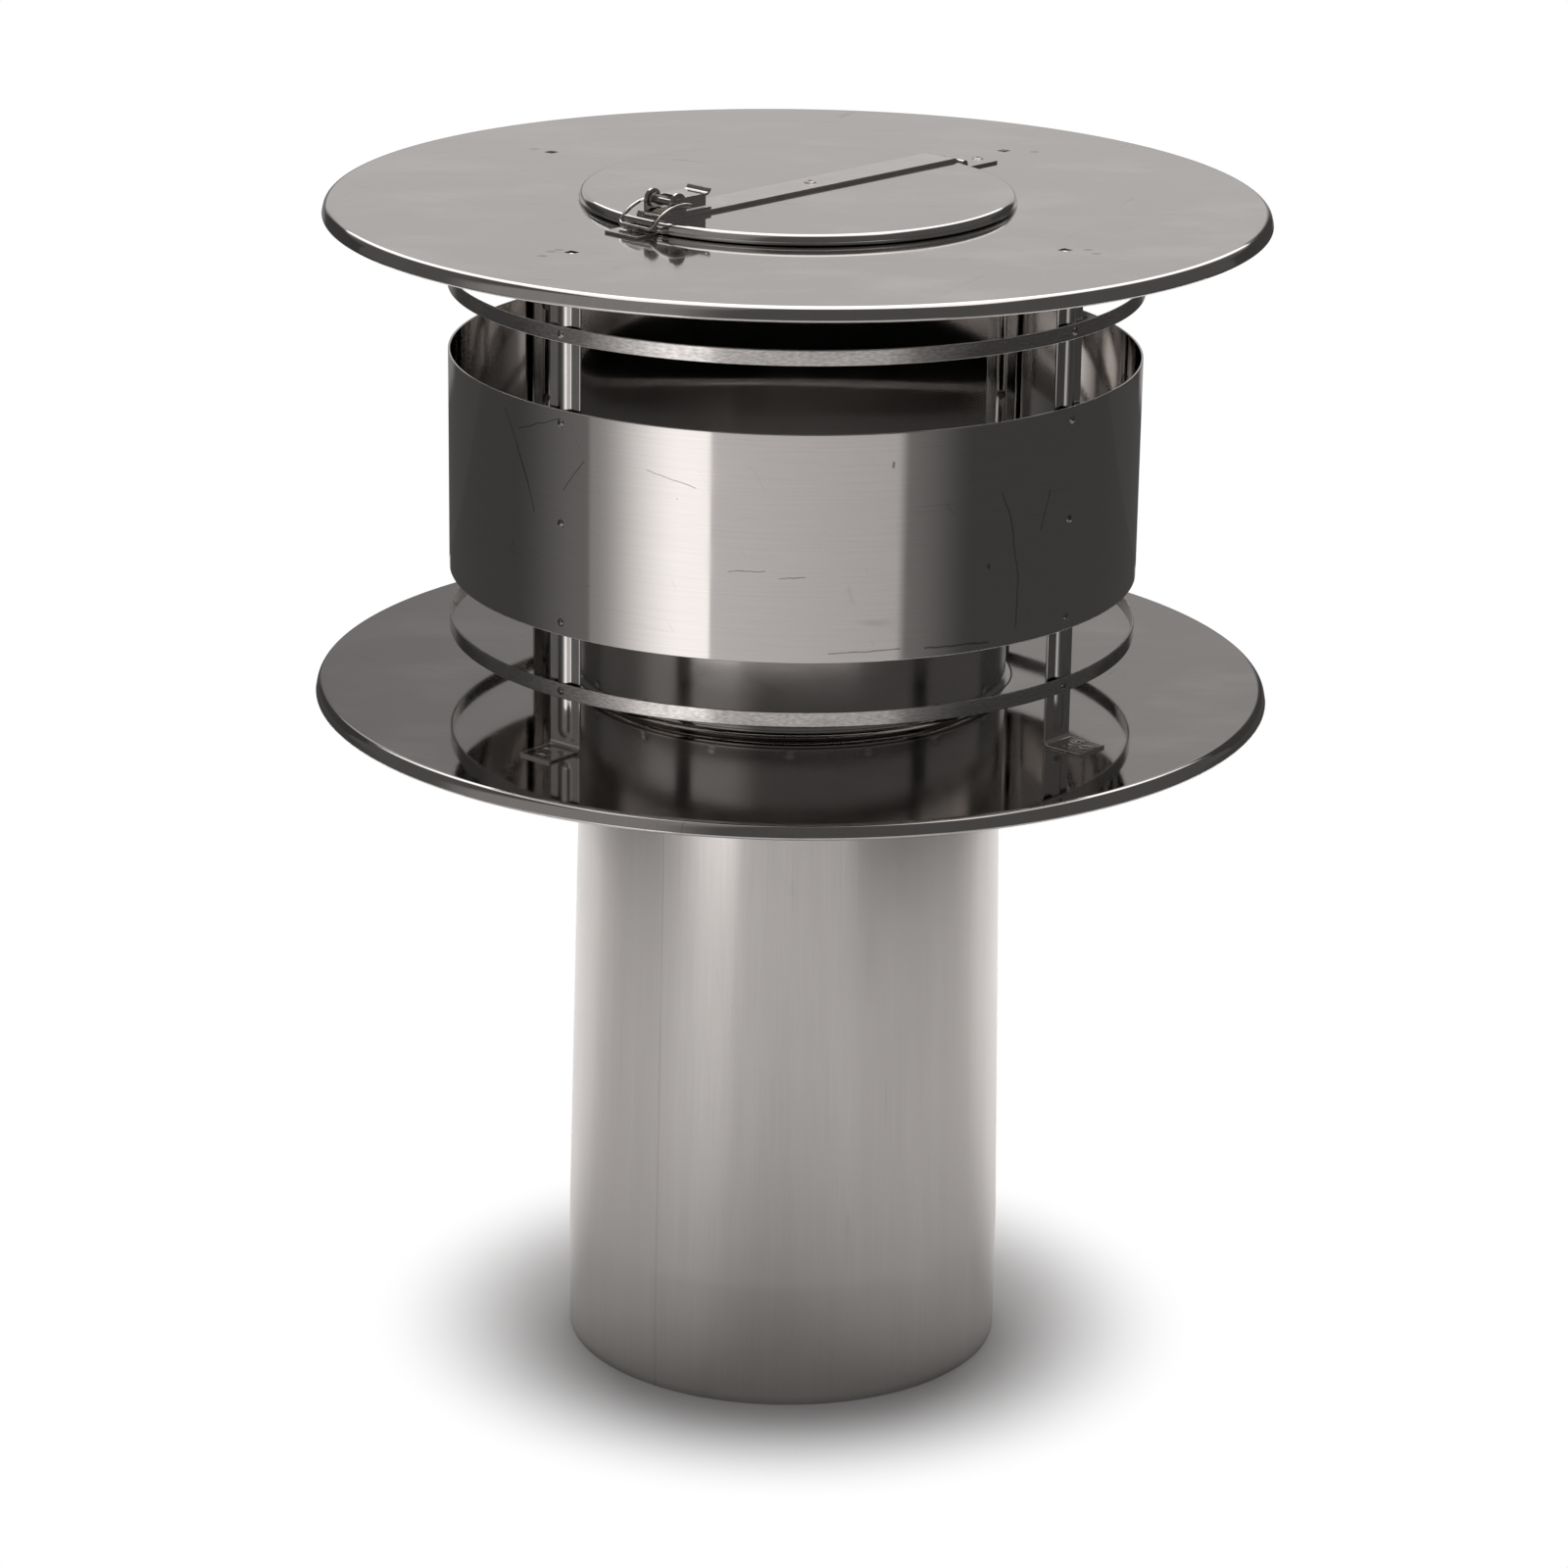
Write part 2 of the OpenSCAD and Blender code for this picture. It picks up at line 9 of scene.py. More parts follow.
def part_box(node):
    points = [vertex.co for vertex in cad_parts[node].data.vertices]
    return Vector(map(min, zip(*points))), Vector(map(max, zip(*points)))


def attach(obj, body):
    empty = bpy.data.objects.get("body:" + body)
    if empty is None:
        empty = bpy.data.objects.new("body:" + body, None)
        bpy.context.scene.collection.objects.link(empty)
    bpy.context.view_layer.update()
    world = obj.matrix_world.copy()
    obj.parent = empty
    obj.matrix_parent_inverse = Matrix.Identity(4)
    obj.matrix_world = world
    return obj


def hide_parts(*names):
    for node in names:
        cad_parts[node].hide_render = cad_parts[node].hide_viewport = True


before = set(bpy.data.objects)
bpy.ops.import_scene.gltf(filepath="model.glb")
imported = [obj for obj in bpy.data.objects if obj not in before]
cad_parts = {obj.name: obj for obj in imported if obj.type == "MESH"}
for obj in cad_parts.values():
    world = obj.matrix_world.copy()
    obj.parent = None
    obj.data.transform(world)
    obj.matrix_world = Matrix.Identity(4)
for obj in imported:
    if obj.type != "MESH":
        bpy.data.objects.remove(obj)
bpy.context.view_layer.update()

MM = 0.001


def reach_of(node):
    """Lowest and highest corner of a CAD node in millimetres, to a tenth."""
    return [np.round(np.array(corner) / MM, 1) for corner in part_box(node)]


# Sizes in millimetres, the large ones read from the solids

SHEET = 1.0
RIM = 6.5
HEM = 1.1
LOWER = reach_of("lower_disc")[0][2] + RIM
UPPER = reach_of("upper_disc")[0][2] + RIM
LOWER_R = reach_of("lower_disc")[1][0]
UPPER_R = reach_of("upper_disc")[1][0]
SHROUD_LOW, SHROUD_HIGH = (corner[2] for corner in reach_of("wind_shroud"))
BAND_R = reach_of("wind_shroud")[1][0]
PIPE_R = reach_of("flue_pipe")[1][0]
PIPE_TOP_R = PIPE_R - 5.0
PIPE_TUCK = 20.0
STRAIGHT = 60.0

# Passage: collar on the lower disc, throat sleeve round it, neck on the upper disc
COLLAR_R = 100.05
COLLAR_H = 26.0
COLLAR_BEND = 5.0
THROAT_R = 101.1
THROAT_LOW = 5.2
BEAD_R = 1.5
BEAD_AT = (THROAT_R + 0.5, 86.5)
NECK_R = 97.5
NECK_H = 3.7
NECK_BEND = 1.5

# Posts: strip with a pressed rib and two feet
POST_T = 1.2
POST_W = 18.0
RIB_R = 4.45
RIB_AXIS = BAND_R - SHEET - 0.05 - RIB_R
STRIP_OUT = RIB_AXIS + RIB_R - 1.65
FOOT_BEND = 2.0
FOOT_END = STRIP_OUT + 20.0
RIB_END = 9.5
POSTS = {"front_left": 225.0, "front_right": 315.0, "back_right": 45.0, "back_left": 135.0}
RIVET_EDGE = 6.0

# Square drain holes just inside the posts' strips
DRAIN = 5.0
DRAIN_R = STRIP_OUT - POST_T - 0.6 - DRAIN / 2

# Strap's line across the lid: u runs along it to the hinge, v across it
STRAP_AZ = np.radians(42.0)
ALONG = np.array([np.cos(STRAP_AZ), np.sin(STRAP_AZ), 0.0])
ACROSS = np.array([-np.sin(STRAP_AZ), np.cos(STRAP_AZ), 0.0])
UP = np.array([0.0, 0.0, 1.0])
LID_R = 100.0
LID_H = 5.0
LID_BEND = 3.0
LID_HEM = 0.8
STRAP_TOP = 6.5
FITTING_T = 1.2
HINGE_AT = (105.5, 2.325)
PIN_R = 1.1
PIN_HALF = 9.5
EYELET_R = 1.5
PIVOT = np.array([-87.0, 11.5])
BAIL_AT = np.array([-80.0, 10.2])
BAR_AT = np.array([-106.1, 3.0])
EAR_V = 8.4
CHEEK_IN = 5.7
WIRE_R = 0.9
BOW_R = 24.0
ARM_V = EAR_V + 1.9


# Surfaces, each given by its points in millimetres and its faces


def arc(cx, cz, r, a0, a1, n):
    """Points of a circle of radius r about (cx, cz), from a0 to a1 degrees in n steps."""
    a = np.radians(np.linspace(a0, a1, n + 1))
    return np.stack([cx + r * np.cos(a), cz + r * np.sin(a)], axis=1)


def line(p, q, step, fine=0.3):
    """Points inside the straight p to q: one close to each end, the others step apart."""
    p, q = np.array(p, float), np.array(q, float)
    length = np.linalg.norm(q - p)
    if length < 3 * fine:
        return np.empty((0, 2))
    n = max(1, int(np.ceil((length - 2 * fine) / step)))
    t = np.linspace(fine / length, 1 - fine / length, n + 1)[:, None]
    return p + (q - p) * t


def path(*parts, closed=False, step=6.0):
    """One line from arcs and points, with the straight stretches between them filled by line()."""
    parts = [np.atleast_2d(np.array(p, float)) for p in parts]
    out = []
    for i, part in enumerate(parts):
        out.append(part)
        if closed or i < len(parts) - 1:
            out.append(line(part[-1], parts[(i + 1) % len(parts)][0], step))
    return np.concatenate(out)


def headings(points):
    """Unit direction at each point of a line: the mean of the directions before and after it."""
    run = np.diff(points, axis=0)
    run /= np.linalg.norm(run, axis=1, keepdims=True)
    mean = np.concatenate([run[:1], run[:-1] + run[1:], run[-1:]])
    return mean / np.linalg.norm(mean, axis=1, keepdims=True)


def lattice(m, n, wrap_m, wrap_n):
    """Quads of an m by n grid of points, as rows of four indices, closed along either side."""
    i, j = np.meshgrid(np.arange(m if wrap_m else m - 1), np.arange(n if wrap_n else n - 1),
                       indexing="ij")
    i1, j1 = (i + 1) % m, (j + 1) % n
    return np.stack([i * n + j, i1 * n + j, i1 * n + j1, i * n + j1], axis=-1).reshape(-1, 4)


def outward(points, faces):
    """The same closed surface with its faces turned outwards, which makes its volume positive:
    the sum of a . (b x c) / 6 over the triangles a, b, c of its faces."""
    volume = 0.0
    for sides in sorted({len(f) for f in faces}):
        corners = points[np.array([f for f in faces if len(f) == sides])]
        for k in range(1, sides - 1):
            normal = np.cross(corners[:, k], corners[:, k + 1])
            volume += np.einsum("ij,ij->", corners[:, 0], normal)
    return points, faces if volume > 0 else [f[::-1] for f in faces]


def turned(section, turns=512):
    """Surface of revolution about Z: (r cos a, r sin a, z) for each point (r, z) of the section
    and each angle a. Points on the axis are shared by all angles, and close a section there."""
    r, z = np.asarray(section, float).T
    a = np.arange(turns) * 2 * np.pi / turns
    points = np.stack([np.outer(np.cos(a), r), np.outer(np.sin(a), r),
                       np.tile(z, (turns, 1))], axis=-1)
    poles = np.flatnonzero(r < 1e-6)
    index = np.arange(turns * len(r)).reshape(turns, -1)
    index[:, poles] = index[0, poles]
    quads = index.reshape(-1)[lattice(turns, len(r), True, len(poles) == 0)]
    used, quads = np.unique(quads, return_inverse=True)
    faces = [[v for i, v in enumerate(f) if v != f[i - 1]] for f in quads.reshape(-1, 4).tolist()]
    return outward(points.reshape(-1, 3)[used], faces)


def swept(rings):
    """Surface through closed rings of points, an array of rings by points by 3, with flat ends."""
    m, k = rings.shape[:2]
    ends = [list(range(k))[::-1], list(range((m - 1) * k, m * k))]
    faces = lattice(m, k, False, True).tolist() + ends
    return outward(rings.reshape(-1, 3), faces)


def placed(shape, origin, x_axis, y_axis, z_axis):
    """A shape carried to an origin and three axes."""
    return outward(np.asarray(origin) + shape[0] @ np.array([x_axis, y_axis, z_axis]), shape[1])


def raised(shape, z):
    """A shape lifted by z."""
    return shape[0] + UP * z, shape[1]


def on_strap(shape):
    """A shape in (u, v, z) placed on the strap's line, with z above the upper disc."""
    return placed(shape, UP * UPPER, ALONG, ACROSS, UP)


def joined(shapes):
    """Several shapes as one."""
    starts = np.cumsum([0] + [len(points) for points, _ in shapes]).tolist()
    faces = [[v + start for v in f] for (_, part), start in zip(shapes, starts) for f in part]
    return np.concatenate([points for points, _ in shapes]), faces


def tube_along(points, radius, aside, sides=16):
    """Round wire along a line: at each point p the circle p + radius (n cos a + m sin a), with n
    square to the line and to the direction aside, and m square to the line and n."""
    points = np.asarray(points, float)
    ahead = headings(points)
    n = np.cross(ahead, aside)
    n /= np.linalg.norm(n, axis=1, keepdims=True)
    m = np.cross(ahead, n)
    a = (np.arange(sides) * 2 * np.pi / sides)[:, None]
    return swept(points[:, None] + radius * (np.cos(a) * n[:, None] + np.sin(a) * m[:, None]))


def make(name, shape, angle=32.0):
    """Mesh object from points in millimetres, smooth but for edges that bend by more than angle."""
    mesh = bpy.data.meshes.new(name)
    mesh.from_pydata((shape[0] * MM).tolist(), [], shape[1])
    mesh.validate()
    mesh.shade_smooth()
    mesh.set_sharp_from_angle(angle=np.radians(angle))
    obj = bpy.data.objects.new(name, mesh)
    bpy.context.scene.collection.objects.link(obj)
    return obj


def eased(name, node, width):
    """Copy of a CAD node's mesh with its doubles merged, its flat faces made whole and its sheared
    edges broken by a bevel of the width given in mm."""
    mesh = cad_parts[node].data.copy()
    mesh.name = name
    mesh.materials.clear()
    mesh.transform(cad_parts[node].matrix_world)
    for loose in ("custom_normal", "sharp_edge", "sharp_face"):
        if loose in mesh.attributes:
            mesh.attributes.remove(mesh.attributes[loose])
    shell = bmesh.new()
    shell.from_mesh(mesh)
    bmesh.ops.remove_doubles(shell, verts=shell.verts, dist=0.002 * MM)
    bmesh.ops.dissolve_limit(shell, angle_limit=np.radians(1.0), verts=shell.verts,
                             edges=shell.edges)
    shell.to_mesh(mesh)
    shell.free()
    mesh.shade_smooth()
    obj = bpy.data.objects.new(name, mesh)
    bpy.context.scene.collection.objects.link(obj)
    bevel = obj.modifiers.new("broken_edges", "BEVEL")
    bevel.width = width * MM
    bevel.segments = 2
    bevel.limit_method = "ANGLE"
    bevel.angle_limit = np.radians(40.0)
    bevel.harden_normals = True
    return obj


def dress(obj, body, slot, *nodes):
    """Puts a piece with its slot's finish on its body, in the place of the nodes named."""
    obj.data.materials.append(FINISH[slot])
    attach(obj, body)
    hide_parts(*nodes)
    return obj


# Colours, nodes and patterns


def linear(code):
    """sRGB hex to linear: c / 12.92 below 0.04045, else ((c + 0.055) / 1.055) to the power 2.4."""
    c = np.array([int(code[i:i + 2], 16) for i in (1, 3, 5)]) / 255.0
    lin = np.where(c <= 0.04045, c / 12.92, ((c + 0.055) / 1.055) ** 2.4)
    return (*lin.tolist(), 1.0)


SMOOTH = {"interpolation_type": "SMOOTHSTEP"}
FLAT = (1.0, 1.0, 0.0)
SOFT_WHITE = (1.0, 0.972, 0.970, 1.0)


def add(tree, kind, inputs=(), out=0, **settings):
    """Adds one node with its settings and links. Gives its output, or the node if it has none."""
    n = tree.nodes.new("ShaderNode" + kind)
    for key, value in settings.items():
        setattr(n, key, value)
    for socket, value in (inputs.items() if isinstance(inputs, dict) else enumerate(inputs)):
        if isinstance(value, bpy.types.NodeSocket):
            tree.links.new(value, n.inputs[socket])
        else:
            n.inputs[socket].default_value = value
    return n.outputs[out] if n.outputs else n


def mottle(tree, place, size, detail=2.0):
    """Cloudy spots from 0 to 1, of the given size in mm along each axis."""
    scaled = add(tree, "VectorMath", [place, size], operation="DIVIDE")
    return add(tree, "TexNoise", {"Vector": scaled, "Scale": 1.0, "Detail": detail})


def layered(tree, *layers):
    """Fields laid over each other, each a pair of field and strength: the sum of their products."""
    level = 0.0
    for field, strength in layers:
        level = add(tree, "Math", [field, strength, level], operation="MULTIPLY_ADD")
    return level


def hairlines(tree, place, angle, spacing, length, width, share):
    """Fine scratches: thin lines where a mottle stretched along an angle passes its middle value,
    spacing apart and length long in mm, kept in patches that cover about the given share."""
    along = add(tree, "VectorRotate", {"Vector": place, "Angle": np.radians(angle)},
                rotation_type="Z_AXIS")
    level = mottle(tree, along, (length * 8, spacing, 500.0), 0.0)
    off = add(tree, "Math", [level, 0.5], operation="SUBTRACT")
    off = add(tree, "Math", [off], operation="ABSOLUTE")
    patch = mottle(tree, along, (length * 0.5, spacing * 1.5, 40.0), 1.0)
    kept = add(tree, "MapRange", [patch, 0.66 - share, 0.78 - share, 0.0, 1.0])
    return add(tree, "MapRange", {0: off, 1: 0.0, 2: width, 3: kept, 4: 0.0})


def specks(tree, place, spacing, size):
    """Small dots of a size in mm, in three of ten cells of a pattern of the given spacing."""
    cells = add(tree, "TexVoronoi", {"Vector": place, "Scale": 1.0 / spacing}).node
    pick = add(tree, "SeparateXYZ", [cells.outputs["Color"]])
    strength = add(tree, "MapRange", [pick, 0.7, 1.0, 0.0, 1.0])
    return add(tree, "MapRange", [cells.outputs["Distance"], 0.0, size / spacing, strength, 0.0])


def stroke(tree, place, start, end, width):
    """One scratch: 1 on the straight from start to end in mm, falling to 0 at half the width off.
    The nearest point is start + t (end - start), with t the projection held between 0 and 1."""
    start, end = np.array([*start, 0.0]), np.array([*end, 0.0])
    run = end - start
    reach = add(tree, "VectorMath", [place, start.tolist()], operation="SUBTRACT")
    run_unit = (run / (run @ run)).tolist()
    t = add(tree, "VectorMath", [reach, run_unit], out="Value", operation="DOT_PRODUCT")
    near = add(tree, "VectorMath", {0: run.tolist(), 3: add(tree, "Clamp", [t])}, operation="SCALE")
    far = add(tree, "VectorMath", [reach, near], out="Value", operation="DISTANCE")
    return add(tree, "MapRange", [far, width * 0.25, width * 0.5, 1.0, 0.0])


def begin(name):
    """New material; gives it, its tree and the place on the piece in mm."""
    mat = bpy.data.materials.new(name)
    mat.use_nodes = True
    mat.node_tree.nodes.clear()
    at = add(mat.node_tree, "TexCoord", out="Object")
    place = add(mat.node_tree, "VectorMath", {0: at, 3: 1 / MM}, operation="SCALE")
    return mat, mat.node_tree, place


def unrolled(tree, place, radius):
    """Place on a cylinder laid flat: (radius times the bearing from -Y towards +X, height, 0)."""
    xyz = add(tree, "SeparateXYZ", [place]).node
    front = add(tree, "Math", [xyz.outputs["Y"], -1.0], operation="MULTIPLY")
    bearing = add(tree, "Math", [xyz.outputs["X"], front], operation="ARCTAN2")
    along = add(tree, "Math", [bearing, radius], operation="MULTIPLY")
    return add(tree, "CombineXYZ", [along, xyz.outputs["Z"], 0.0])


def bare_steel(tree, tint, roughness, dark, pale, *relief):
    """Bare stainless steel: metal of one tint, darker where dark rises and paler where pale does,
    with relief given as pairs of a height field and its depth in mm."""
    mix = {"out": 2, "data_type": "RGBA"}
    dulled = add(tree, "Mix", {0: dark, 6: linear(tint), 7: linear("#2e2c2a")}, **mix)
    colour = add(tree, "Mix", {0: pale, 6: dulled, 7: linear("#f3f1ee")}, **mix)
    inputs = {"Base Color": colour, "Metallic": 1.0, "Roughness": roughness}
    for height, depth in relief:
        bump = {"Distance": abs(depth) * MM, "Height": height}
        if "Normal" in inputs:
            bump["Normal"] = inputs["Normal"]
        inputs["Normal"] = add(tree, "Bump", bump, invert=depth < 0)
    add(tree, "OutputMaterial", {"Surface": add(tree, "BsdfPrincipled", inputs)})


# Finishes


def bright_annealed_disc(name, tint, roughness, marks=()):
    """Disc of bright annealed sheet: a near mirror with slow waves, milky handling marks, hairline
    scratches in several directions, small specks, and dull spots where a post's foot is welded
    under it, given by their centres in mm."""
    mat, tree, place = begin(name)
    flat = add(tree, "VectorMath", [place, FLAT], operation="MULTIPLY")
    clouds = mottle(tree, flat, (70.0, 45.0, 50.0), 4.0)
    rough = add(tree, "MapRange", [clouds, 0.35, 0.7, roughness * 0.8, roughness * 1.6], **SMOOTH)
    wipes = mottle(tree, flat, (120.0, 3.0, 50.0), 3.0)
    # Mill grain is finer than the render shows, so it is drawn 1.6 mm apart
    grain = mottle(tree, flat, (1.6, 1.6, 50.0), 2.0)
    lines = layered(tree, (hairlines(tree, flat, 35.0, 9.0, 60.0, 0.012, 0.06), 1.0),
                    (hairlines(tree, flat, -58.0, 14.0, 45.0, 0.012, 0.05), 0.8),
                    (hairlines(tree, flat, 8.0, 7.0, 80.0, 0.010, 0.08), 0.8))
    spots = [(stroke(tree, flat, at, (at[0] + 0.5, at[1]), 5.0), 0.40) for at in marks]
    dark = layered(tree, (lines, 0.26), (wipes, 0.08), (grain, 0.07), *spots)
    milky = add(tree, "MapRange", [clouds, 0.46, 0.72, 0.0, 0.16], **SMOOTH)
    pale = layered(tree, (specks(tree, flat, 9.0, 0.5), 0.8), (milky, 1.0))
    waves = mottle(tree, flat, (110.0, 110.0, 50.0), 0.0)
    bare_steel(tree, tint, rough, dark, pale, (waves, 0.09))
    return mat


def rolled_band(name, tint, roughness, radius, grain, scratches=()):
    """Sheet rolled into a tube: rolling grain, slow waves that make straight reflections wander a
    little, faint scuffs, dark scratches and pits."""
    mat, tree, place = begin(name)
    flat = unrolled(tree, place, radius)
    fine = mottle(tree, flat, grain, 3.0)
    clouds = mottle(tree, flat, (60.0, 35.0, 50.0), 3.0)
    rough = add(tree, "MapRange", [clouds, 0.3, 0.7, roughness * 0.85, roughness * 1.3], **SMOOTH)
    lines = layered(tree, (hairlines(tree, flat, 3.0, 7.0, 70.0, 0.012, 0.07), 1.0),
                    (hairlines(tree, flat, 62.0, 12.0, 30.0, 0.012, 0.03), 1.0))
    wander = add(tree, "TexNoise", {"Vector": flat, "Scale": 0.16, "Detail": 3.0}, out="Color")
    wander = add(tree, "VectorMath", [wander, (1.8, 1.8, 0.0), (-0.9, -0.9, 0.0)],
                 operation="MULTIPLY_ADD")
    bent = add(tree, "VectorMath", [flat, wander], operation="ADD")
    dark = layered(tree, (lines, 0.20), (specks(tree, flat, 11.0, 0.5), 0.5), (fine, 0.12),
                   *[(stroke(tree, bent, *s), 0.55) for s in scratches])
    pale = add(tree, "MapRange", [clouds, 0.55, 0.8, 0.0, 0.05], **SMOOTH)
    waves = mottle(tree, flat, (45.0, 150.0, 50.0), 1.0)
    bare_steel(tree, tint, rough, dark, pale, (waves, 0.05), (fine, 0.0006))
    return mat


def satin_pipe(name, tint, roughness, radius, seam):
    """Sheet with a satin mill finish rolled into a pipe: fine upright grain, cloudy handling marks,
    a ground weld seam as a narrow line at one bearing, and colour darker over its lowest 5 mm."""
    mat, tree, place = begin(name)
    flat = unrolled(tree, place, radius)
    # Mill grain is finer than the render shows, so it is drawn 0.8 mm apart
    fine = mottle(tree, flat, (0.8, 60.0, 50.0), 3.0)
    broad = mottle(tree, flat, (9.0, 220.0, 50.0), 2.0)
    clouds = mottle(tree, flat, (55.0, 80.0, 50.0), 3.0)
    rough = add(tree, "MapRange", [clouds, 0.3, 0.7, roughness * 0.92, roughness * 1.12], **SMOOTH)
    xyz = add(tree, "SeparateXYZ", [flat]).node
    off = add(tree, "Math", [xyz.outputs["X"], np.radians(seam) * radius], operation="SUBTRACT")
    off = add(tree, "Math", [off], operation="ABSOLUTE")
    weld = add(tree, "MapRange", [off, 0.25, 0.9, 1.0, 0.0], **SMOOTH)
    # The pipe's colour darkens over its lowest 5 mm, towards its foot
    darker_foot = add(tree, "MapRange", [xyz.outputs["Y"], 0.0, 5.0, 1.0, 0.0], **SMOOTH)
    dark = layered(tree, (fine, 0.13), (broad, 0.12), (weld, 0.10), (darker_foot, 0.20),
                   (hairlines(tree, flat, 88.0, 9.0, 70.0, 0.012, 0.04), 0.16))
    pale = add(tree, "MapRange", [clouds, 0.5, 0.8, 0.0, 0.06], **SMOOTH)
    waves = mottle(tree, flat, (90.0, 200.0, 50.0), 0.0)
    bare_steel(tree, tint, rough, dark, pale, (waves, 0.06), (fine, 0.0015), (weld, 0.04))
    return mat


def slit_strip(name, tint, roughness):
    """Narrow strip slit from sheet and rolled into a ring: mottled by short rolling marks, with
    dull smudges and small dark nicks."""
    mat, tree, place = begin(name)
    flat = unrolled(tree, place, BAND_R)
    short = mottle(tree, flat, (3.0, 0.9, 50.0), 4.0)
    smudge = mottle(tree, flat, (22.0, 6.0, 50.0), 3.0)
    rough = add(tree, "MapRange", [smudge, 0.3, 0.7, roughness * 0.8, roughness * 1.8], **SMOOTH)
    rubbed = add(tree, "MapRange", [short, 0.35, 0.75, 0.0, 0.32])
    dark = layered(tree, (rubbed, 1.0), (specks(tree, flat, 6.0, 0.5), 0.6), (smudge, 0.15))
    waves = mottle(tree, flat, (40.0, 90.0, 50.0), 1.0)
    bare_steel(tree, tint, rough, dark, 0.0, (waves, 0.05), (short, 0.004))
    return mat


def pressed_strip(name, tint, roughness, draw):
    """Strip pressed and bent in a tool: draw lines along it, dull smudges and small tool marks."""
    mat, tree, place = begin(name)
    drawn = mottle(tree, place, draw, 3.0)
    smudge = mottle(tree, place, (9.0, 9.0, 14.0), 3.0)
    rough = add(tree, "MapRange", [smudge, 0.3, 0.7, roughness * 0.75, roughness * 1.6], **SMOOTH)
    dark = layered(tree, (drawn, 0.22), (specks(tree, place, 4.5, 0.4), 0.5))
    pale = add(tree, "MapRange", [smudge, 0.5, 0.8, 0.0, 0.10])
    bare_steel(tree, tint, rough, dark, pale, (smudge, 0.05), (drawn, 0.004))
    return mat


def upset_metal(name, tint, roughness, skin_size, dirt_share):
    """Cold-worked rivets, pins and wire: fine orange-peel skin, with dirt in patches."""
    mat, tree, place = begin(name)
    skin = mottle(tree, place, (skin_size,) * 3, 3.0)
    dirt = mottle(tree, place, (2.2, 2.2, 2.2), 2.0)
    rough = add(tree, "MapRange", [dirt, 0.3, 0.7, roughness * 0.8, roughness * 1.5], **SMOOTH)
    dark = add(tree, "MapRange", [dirt, 0.35, 0.7, 0.0, dirt_share], **SMOOTH)
    bare_steel(tree, tint, rough, dark, 0.0, (skin, 0.02))
    return mat


# Size of the marks that forming leaves, in mm: round the band and up it, or along the three axes
THROAT_GRAIN = (1.2, 40.0, 50.0)
SHROUD_GRAIN = (50.0, 0.9, 50.0)
POST_DRAW = (0.9, 0.9, 30.0)
STRAP_DRAW = (14.0, 14.0, 14.0)
STAMP_DRAW = (3.0, 3.0, 3.0)

# Bearing of the pipe's weld seam from -Y in degrees
SEAM = -40.1

# Dull weld spots seen on the upper disc, x and y in mm
DISC_MARKS = [(-116.6, 115.7), (-121.7, -115.5), (-117.6, -106.9), (-114.0, -103.6),
              (122.7, 105.4), (118.5, -108.5), (120.9, -116.4)]

# Scratches seen on the shroud: start and end in mm round the band from -Y and up it, and width
SHROUD_MARKS = [
    ((-164.0, 482.0), (-154.6, 466.6), 0.7), ((-154.6, 466.6), (-147.6, 452.3), 1.1),
    ((-147.6, 452.3), (-142.9, 438.9), 0.8), ((-153.1, 475.0), (-126.1, 484.7), 0.6),
    ((-124.4, 452.4), (-112.6, 467.9), 0.6), ((83.5, 456.1), (88.9, 443.2), 0.7),
    ((88.9, 443.2), (93.8, 415.4), 0.7), ((93.8, 415.4), (93.0, 392.9), 0.7),
    ((106.7, 435.7), (112.3, 452.7), 0.7), ((1.9, 389.6), (34.0, 390.4), 0.7),
    ((46.0, 389.8), (77.7, 388.5), 1.0), ((-42.6, 426.0), (-26.6, 426.9), 0.5),
    ((-20.1, 423.9), (-8.6, 424.1), 0.5), ((-80.4, 468.1), (-57.5, 462.6), 0.5),
    ((29.5, 475.2), (29.5, 473.6), 1.6), ((77.1, 424.0), (77.3, 422.6), 1.5)]

FINISH = {
    "pipe_sheet": satin_pipe("satin_stainless_pipe", "#cbc8c5", 0.21, PIPE_R - 2.5, SEAM),
    "lower_disc_sheet": bright_annealed_disc("bright_annealed_lower_disc", "#c6c3c0", 0.05),
    "upper_disc_sheet": bright_annealed_disc("bright_annealed_upper_disc", "#cbc8c5", 0.07,
                                             DISC_MARKS),
    "throat_sheet": rolled_band("rolled_stainless_throat", "#d2cfcc", 0.18, THROAT_R, THROAT_GRAIN),
    "shroud_sheet": rolled_band("rolled_stainless_shroud", "#cbc8c5", 0.07, BAND_R, SHROUD_GRAIN,
                                SHROUD_MARKS),
    "ring_strip": slit_strip("slit_stainless_ring", "#cdcac7", 0.13),
    "post_sheet": pressed_strip("pressed_stainless_post", "#cbc8c5", 0.10, POST_DRAW),
    "lid_sheet": bright_annealed_disc("pressed_stainless_lid", "#cbc8c5", 0.07),
    "strap_steel": pressed_strip("slit_stainless_strap", "#dedbd8", 0.07, STRAP_DRAW),
    "keeper_steel": pressed_strip("stamped_stainless_keeper", "#c8c5c2", 0.10, STAMP_DRAW),
    "bracket_steel": pressed_strip("stamped_stainless_bracket", "#d0cdca", 0.09, STAMP_DRAW),
    "latch_steel": pressed_strip("stamped_stainless_latch", "#d8d5d2", 0.08, STAMP_DRAW),
    "lever_steel": pressed_strip("stamped_stainless_lever", "#e2dfdc", 0.07, STAMP_DRAW),
    "bail_wire": upset_metal("drawn_stainless_wire", "#d4d1cd", 0.10, 1.6, 0.25),
    "pin_steel": upset_metal("drawn_stainless_pin", "#bebbb7", 0.14, 1.6, 0.35),
    "rivet_steel": upset_metal("upset_stainless_rivet", "#98928c", 0.15, 0.7, 0.6),
}


